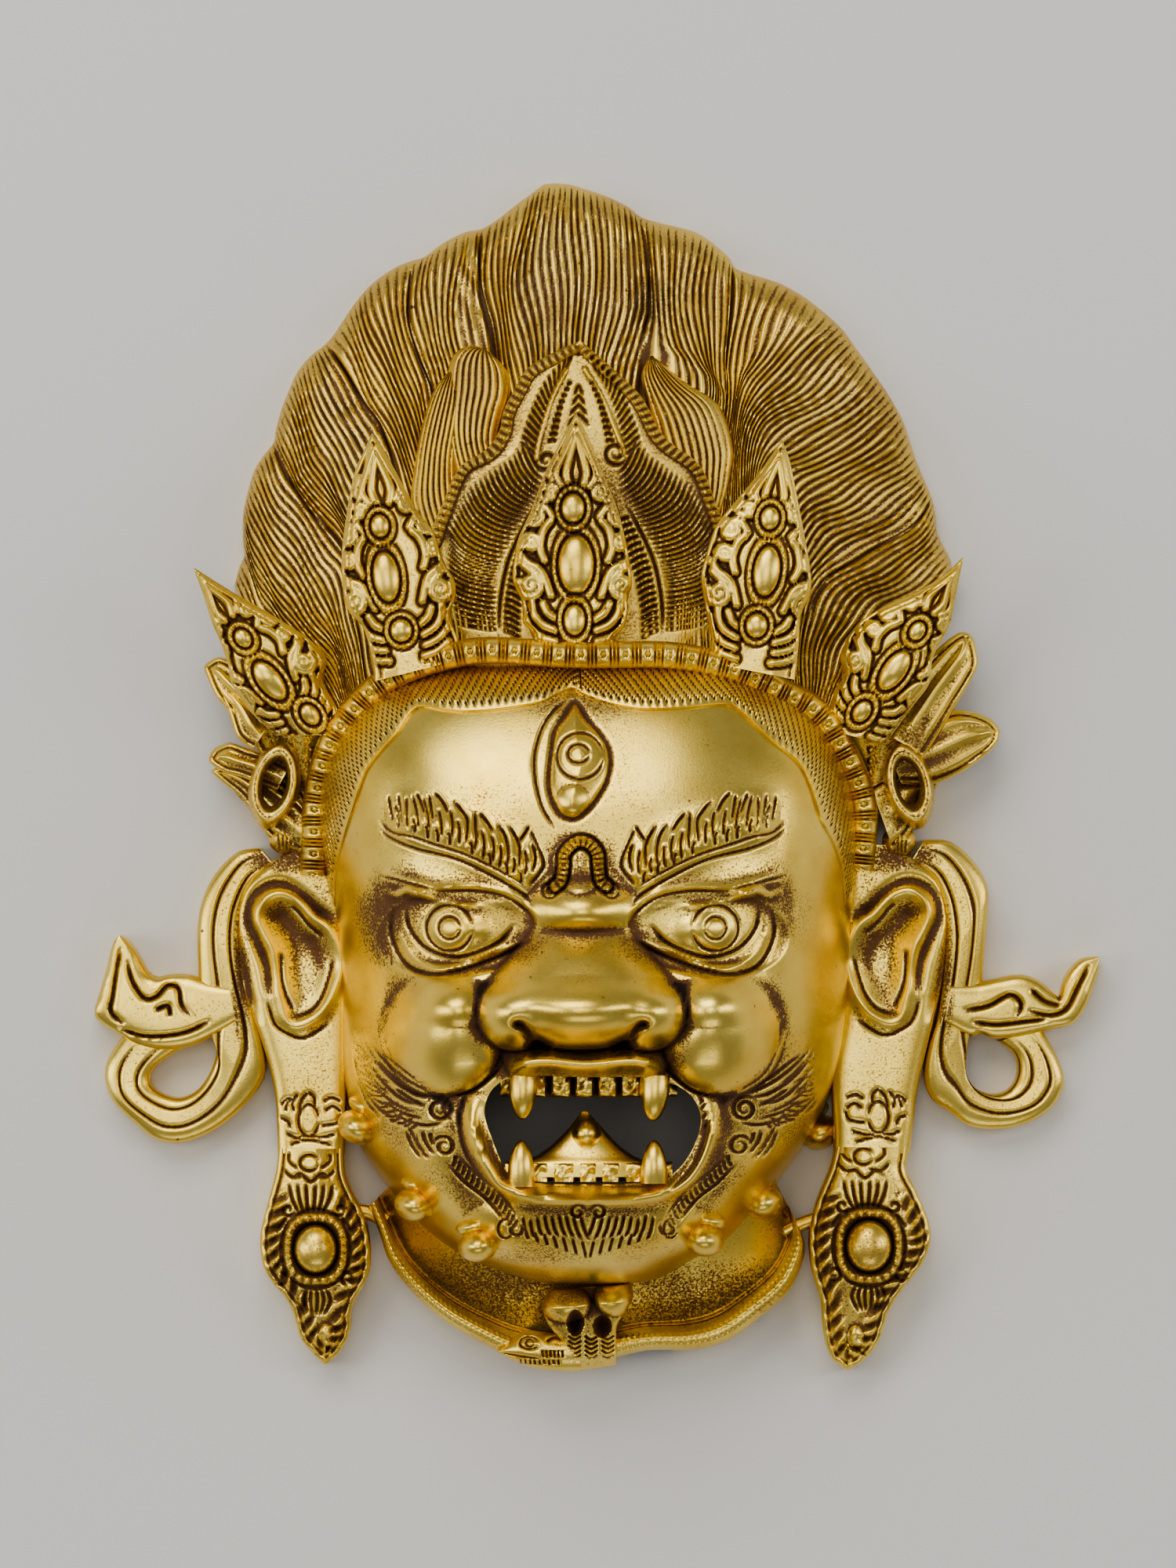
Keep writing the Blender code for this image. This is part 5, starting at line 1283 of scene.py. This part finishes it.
def pendant(name, left, right, gem, radii, drawn, seed):
    """One drop, swelling to its stone and thin again at its tip."""
    outline = np.concatenate([curve(left, 6), curve(right, 6)[::-1]])

    def form(x, y, across, t):
        rim, share = nearest(x, y, outline)[:2]
        z = np.interp(t, (0.0, 0.15, 0.5, 0.75, 1.0), (12.6, 13.2, 13.5, 11.5, 8.5))
        scrolls = 1.2 * np.cos(2 * np.pi * 30 * share + 0.22 * rim) * bell(rim, 16.0, 8.0)
        scrolls = scrolls * ease(0.16, 0.26, t)
        swell = 3.2 * np.sqrt(np.clip(rim / 36.0, 0.0, 1.0)) - 0.8 * bell(rim, 8.0, 2.0)
        reach = np.hypot((x - gem[0]) / radii[0], (y - gem[1]) / radii[1])
        away = (reach - 1.0) * min(radii)
        stone = 4.6 * round_over(reach)
        u, v = np.abs((x - gem[0]) / radii[0]), np.abs((y - gem[1]) / radii[1])
        squarish = ((u ** 3 + v ** 3) ** (1 / 3) - 1.0) * min(radii)
        turn = np.arctan2(y - gem[1], x - gem[0])
        bead = round_over((squarish - 8.0) / 5.5) * (1.7 + 0.5 * np.cos(24 * turn))
        trench = -1.2 * bell(away, 1.5, 2.0) - 0.9 * bell(away, 17.0, 2.2)
        drop = boss(x, y, seed, (11, 15), 2.4, 0.5)
        return z + swell + stone + bead + trench + drop + scrolls + engraved(x, y, drawn, 2.2, 1.0)
    blade(name, left, right, 14, 28, 7, form, 9.0, bar_brass, 0.0)


def drop_lines(cx, top, gem_y, low, tip):
    """A lotus and upright petals over the stone of a pendant, and petals from it to the tip."""
    bud_x = cx - 6
    lines = [ring((bud_x, top + 6), (12, 10))]
    petals = ((cx - 4, ((0.5, -46), (0.85, -66), (1, -86))), (cx, ((0.5, 48), (0.75, 64), (0.4, 84))))
    for side in (-1, 1):
        lines += [curve([(bud_x + side * dx, top + dy) for dx, dy in ((13, 14), (26, 4), (25, -8))], 5),
                  curve([(bud_x + side * dx, top + dy) for dx, dy in ((5, 21), (22, 24), (34, 13))], 5),
                  curve([(cx + side * 34, gem_y - 44), (cx + side * 48, gem_y - 24)], 4),
                  curve([(cx + side * 22, low), (cx + side * 22, low + 24), (cx + 6, tip - 10)], 5),
                  spiral((cx + side * 43, gem_y + 34), 11, 1.4, 90 - 60 * side, side),
                  spiral((cx + side * 33, gem_y - 52), 9, 1.3, 90 + 90 * side, -side)]
    for dx in (-28, -17, -6, 6, 17, 28):
        for x0, path in petals:
            lines.append(curve([(x0 + lean * dx, gem_y + dy) for lean, dy in path], 5))
    lines.append(curve([(cx + dx, gem_y + dy) for dx, dy in
                        ((-32, -90), (-18, -98), (-4, -88), (10, -98), (24, -90))], 5))
    return lines


pendant("left_pendant",
        [(354, 1466), (353, 1480), (350, 1500), (338, 1545), (331, 1579), (334, 1613), (344, 1634),
         (364, 1659), (372, 1673), (377, 1693), (384, 1712), (400, 1731), (412, 1743)],
        [(438, 1466), (438, 1480), (440, 1500), (448, 1521), (463, 1550), (471, 1586), (471, 1618),
         (463, 1642), (454, 1656), (447, 1676), (446, 1697), (440, 1715), (427, 1733), (415, 1743)],
        (402, 1594), (27, 31), drop_lines(400, 1478, 1596, 1690, 1742), (416, 1704))
pendant("right_pendant",
        [(1066, 1464), (1063, 1478), (1058, 1495), (1042, 1535), (1033, 1574), (1035, 1615), (1043, 1645),
         (1048, 1662), (1050, 1690), (1054, 1715), (1062, 1735), (1080, 1750)],
        [(1160, 1464), (1158, 1478), (1157, 1495), (1170, 1521), (1184, 1555), (1188, 1584), (1176, 1615),
         (1148, 1652), (1134, 1676), (1127, 1700), (1118, 1721), (1100, 1740), (1082, 1751)],
        (1109, 1590), (29, 33), drop_lines(1108, 1470, 1591, 1690, 1748), (1092, 1706))

# The neck, cast with the face: a smooth bowl under the chin with a scaled snake lying round its
# rim. Its head and coil cross at the front, and short struts tie the rim to both pendants.

rim_line = curve([(470, 1540), (483, 1575), (496, 1612), (524, 1650), (568, 1689), (618, 1718), (654, 1734),
                  (700, 1743), (745, 1744), (782, 1735), (828, 1725), (886, 1724), (928, 1713), (968, 1685),
                  (1006, 1651), (1024, 1614), (1027, 1587), (1016, 1558)])
chin_line = curve([(512, 1500), (540, 1540), (580, 1575), (640, 1600), (700, 1612), (760, 1614),
                   (820, 1606), (880, 1590), (930, 1560), (965, 1520), (985, 1500)])
# the snake's share of the way from the rim to the chin, and its scales along the rim
snake_share, scale_count = 0.27, 96.0
snake_crowding, neck_foot_share, neck_wall = 1.25, 0.0005, 3.0


def neck_form(s, t):
    """The snake's scaled back, then the bowl, which rises again towards the chin."""
    across = 2.0 * t / snake_share - 1.0
    back = 18.0 - 8.0 * (1.0 - round_over(across))
    row = across * 3.0
    staggered = s * scale_count + 0.5 * (np.floor(row) % 2)
    scale = np.abs(np.sin(np.pi * staggered)) * np.abs(np.sin(np.pi * row)) ** 0.5
    snake = back + 0.55 * (scale - 0.6)
    bowl = 9.0 + 16.0 * np.clip(t - snake_share, 0.0, 1.0) ** 1.3
    groove = -1.4 * bell(t, snake_share, 0.02)
    return np.where(t < snake_share, snake, bowl) + groove


def neck_front(s, t):
    t = (1.0 - t) ** snake_crowding
    x, y = between(rim_line, chin_line, t, s)
    return x, y, np.where(t < neck_foot_share, 0.0, neck_form(s, t))


def neck_back(s, t):
    t = (1.0 - t) ** snake_crowding
    x, y = between(rim_line, chin_line, np.where(t < neck_foot_share, 0.0, np.maximum(t, 0.12)), s)
    return x, y, np.where(t < neck_foot_share, 0.0, neck_form(s, t) - neck_wall)


cast(plate("neck", 48, 10, 7, neck_front, neck_back), polished)

scale_lines = [curve([(x - 9, y), (x, y + 5), (x + 9, y)], 4)
               for x in (733, 754, 775) for y in (1702, 1708, 1714, 1720, 1726)]


def snake_neck_form(x, y, across, t):
    """The snake rears over the rim: scaled in front, with two worn lumps where it bends back."""
    z = np.interp(t, (0.0, 0.15, 0.5, 0.8, 1.0), (16.0, 22.0, 24.0, 25.0, 22.0))
    lumps = boss(x, y, (722, 1662), (32, 24), 4.5, 0.6) + boss(x, y, (784, 1654), (26, 24), 4.5, 0.6)
    pits = boss(x, y, (734, 1685), (11, 18), 4.5, 0.8) + boss(x, y, (768, 1690), (12, 15), 4.5, 0.8)
    return z + 4.0 * round_over(across) + lumps - pits + engraved(x, y, scale_lines, 1.7, 0.9, 9.0)


blade("snake_neck", [(722, 1750), (724, 1735), (721, 1715), (708, 1700), (697, 1684), (692, 1664),
                     (699, 1645)],
      [(786, 1742), (787, 1725), (786, 1705), (788, 1688), (798, 1672), (808, 1652), (804, 1636)], 8, 12, 7,
      snake_neck_form, 8.0, polished)
head_lines = [ring((676, 1713), (5, 4.5)), ring((675, 1713), (12, 7.5)),
              curve([(696, 1712), (706, 1706), (719, 1708)], 4), curve([(640, 1726), (660, 1729),
                                                                        (690, 1733)], 4)]
head_lines += [np.array([(x, 1721), (x + 1, 1731)]) for x in range(692, 722, 5)]
head_lines += [np.array([(x, 1733), (x + 1, 1740)]) for x in range(664, 718, 6)]


def snake_head_form(x, y, across, t):
    z = np.interp(t, (0.0, 0.4, 1.0), (20.0, 19.0, 14.0))
    return z + 4.5 * round_over(across) + engraved(x, y, head_lines, 1.7, 0.9, 9.0)


blade("snake_head", [(740, 1749), (715, 1749), (690, 1747), (668, 1742), (650, 1735), (637, 1727)],
      [(740, 1700), (715, 1703), (690, 1700), (668, 1701), (650, 1709), (635, 1722)], 6, 9, 7,
      snake_head_form, 8.0, polished)


def strut(name, points, heights, half):
    """A short round strut."""
    path = curve(points)

    def front(s, t):
        x, y = swept(path, half)(0.5 + 0.5 * half_round(s), t)
        return x, y, spaced(t, heights) + 0.2 * half * round_over(half_round(s))

    def back(s, t):
        x, y = swept(path, half * 0.96)(0.5 + 0.5 * half_round(s), t)
        return x, y, spaced(t, heights) - 3.0 - 0.2 * half * round_over(half_round(s))
    return cast(plate(name, 3, 6, 4, front, back), polished)


strut("left_strut", [(452, 1546), (470, 1549), (492, 1560)], (9.5, 9, 9), 9)
strut("right_strut", [(1044, 1556), (1022, 1564), (1002, 1574)], (9.5, 9, 9), 9)

# Inside the mouth: two rows of square teeth, four fangs and a tongue rolled up behind them,
# and along the jaw six short pegs. All are cast with the face.


def teeth(name, x0, x1, y0, y1, gaps, base_mm, tips_down):
    """One row of teeth on a curved gum, with a rounded front and a dark gap between each two."""
    def form(x, y):
        gap = sum(np.exp(-((x - place) / 3.4) ** 4) for place in gaps)
        rough = 0.35 * np.sin(0.21 * x + 3.0) * np.sin(0.3 * y) + 0.12 * np.sin(0.5 * x + 0.4 * y)
        arch = 5.0 * (1.0 - ((x - 750) / 130.0) ** 2)
        lip = np.clip((y - y0) / (y1 - y0), 0.0, 1.0)
        lip = lip if tips_down else 1.0 - lip
        round_tip = 1.6 * round_over(np.clip((lip - 0.75) / 0.25, 0.0, 1.0))
        return base_mm + arch + round_tip + rough - 3.2 * gap

    def front(s, t):
        x, y = x0 + (x1 - x0) * s, y0 + (y1 - y0) * t
        return x, y, form(x, y)

    def back(s, t):
        x, y = x0 + (x1 - x0) * s, y0 + (y1 - y0) * t
        return x, y, np.full(np.shape(x), base_mm - 6.0)
    return cast(plate(name, 20, 3, 6, front, back), polished)


teeth("upper_teeth", 640, 862, 1368, 1394, (672, 701, 731, 760, 789, 820), 56.5, True)
teeth("lower_teeth", 646, 856, 1476, 1500, (674, 703, 736, 764, 793, 822), 57.0, False)


def fang(name, root, tip, height_mm, width):
    """A curved fang, round in section, that tapers from the gum to a blunt point."""
    bm = bmesh.new()
    grid = bmesh.ops.create_grid(bm, x_segments=28, y_segments=20, size=0.5)["verts"]
    for v in grid:
        angle, u = 2 * math.pi * (v.co.x + 0.5), v.co.y + 0.5
        thick = 0.5 * width * max(1.0 - u ** 2.6, 0.0) ** 0.6
        x = root[0] + (tip[0] - root[0]) * u + thick * math.cos(angle)
        y = root[1] + (tip[1] - root[1]) * u
        v.co = on_model(x, y, height_mm + 0.2 * thick * math.sin(angle) + 2.6 * u * (1.2 - u))[0]
    bmesh.ops.remove_doubles(bm, verts=bm.verts[:], dist=1e-7)
    bmesh.ops.holes_fill(bm, edges=[e for e in bm.edges if e.is_boundary], sides=0)
    return cast(made(name, bm), polished)


fang("left_upper_fang", (669, 1366), (667, 1422), 65.0, 37)
fang("right_upper_fang", (835, 1366), (832, 1424), 65.0, 38)
fang("left_lower_fang", (666, 1506), (666, 1447), 64.0, 35)
fang("right_lower_fang", (833, 1502), (833, 1447), 64.0, 34)


def tongue_form(x, y, across, t):
    return 55.0 + 5.0 * t + 3.5 * round_over(across) * ease(0.0, 0.2, t)


blade("tongue", [(743, 1413), (728, 1431), (710, 1450), (690, 1466), (664, 1478), (658, 1494)],
      [(749, 1413), (766, 1431), (785, 1452), (806, 1468), (828, 1478), (834, 1494)], 6, 6, 6,
      tongue_form, 5.0, polished)
knob("tongue_tip", (748, 1440), 58.0, (19, 19), 6.5, polished)

for k, (place, lean) in enumerate(jaw_pegs):
    height = float(face_height(np.array([place[0]]), np.array([place[1]]))[0])
    turn = math.degrees(math.atan2(-lean[0], lean[1])) * 0.6
    hood_place = (place[0] - 0.9 * lean[0], place[1] - 20.0)
    peg_place = (place[0] + 0.5 * lean[0], place[1] + 0.5 * lean[1])
    knob(f"peg_hood_{k + 1}", hood_place, height, (25, 12), 7.0, polished, turn)
    knob(f"jaw_peg_{k + 1}", peg_place, height + 2.0, (26, 21), 9.5, polished, turn)

# The floor it lies on is plain pale paper. The light is soft and comes from above the
# forehead and from both sides, and the camera looks straight down on the mask.

paper = bpy.data.materials.new("pale_paper")
paper.use_nodes = True
paper.node_tree.nodes["Principled BSDF"].inputs["Base Color"].default_value = hex_colour("#D2CEC8")
paper.node_tree.nodes["Principled BSDF"].inputs["Roughness"].default_value = 0.9
bm = bmesh.new()
bmesh.ops.create_grid(bm, x_segments=1, y_segments=1, size=3.0)
floor_mesh = bpy.data.meshes.new("floor")
bm.to_mesh(floor_mesh)
bm.free()
floor = bpy.data.objects.new("floor", floor_mesh)
floor.data.materials.append(paper)
bpy.context.scene.collection.objects.link(floor)

world = bpy.data.worlds.new("studio")
world.use_nodes = True
world.node_tree.nodes["Background"].inputs["Color"].default_value = (0.86, 0.87, 0.9, 1.0)
world.node_tree.nodes["Background"].inputs["Strength"].default_value = 0.26
bpy.context.scene.world = world
bpy.context.scene.view_settings.look = "AgX - Medium High Contrast"
lamps = (("over", (-0.1, 0.3, 3.7), 1.7, 1.5, 20.0), ("above", (-0.4, 1.2, 1.4), 1.5, 1.0, 17.0),
         ("left", (-1.3, 0.0, 0.9), 0.7, 1.4, 8.0), ("right", (1.25, 0.2, 0.8), 0.5, 1.3, 6.0),
         ("below", (0.1, -1.3, 0.9), 1.2, 0.4, 2.5))
for name, place, wide, tall, watts in lamps:
    lamp = bpy.data.lights.new("light_" + name, "AREA")
    lamp.shape, lamp.size, lamp.size_y, lamp.energy = "RECTANGLE", wide, tall, watts
    light = bpy.data.objects.new("light_" + name, lamp)
    light.location = place
    light.rotation_euler = (Vector((0.0, 0.0, 0.02)) - Vector(place)).to_track_quat("-Z", "Y").to_euler()
    bpy.context.scene.collection.objects.link(light)

lens = bpy.data.cameras.new("camera")
lens.sensor_fit, lens.sensor_height, lens.lens = "VERTICAL", 36.0, 270.0
camera = bpy.data.objects.new("camera", lens)
camera.location = (-0.0023, -0.0023, 3.02)
bpy.context.scene.collection.objects.link(camera)
bpy.context.scene.camera = camera
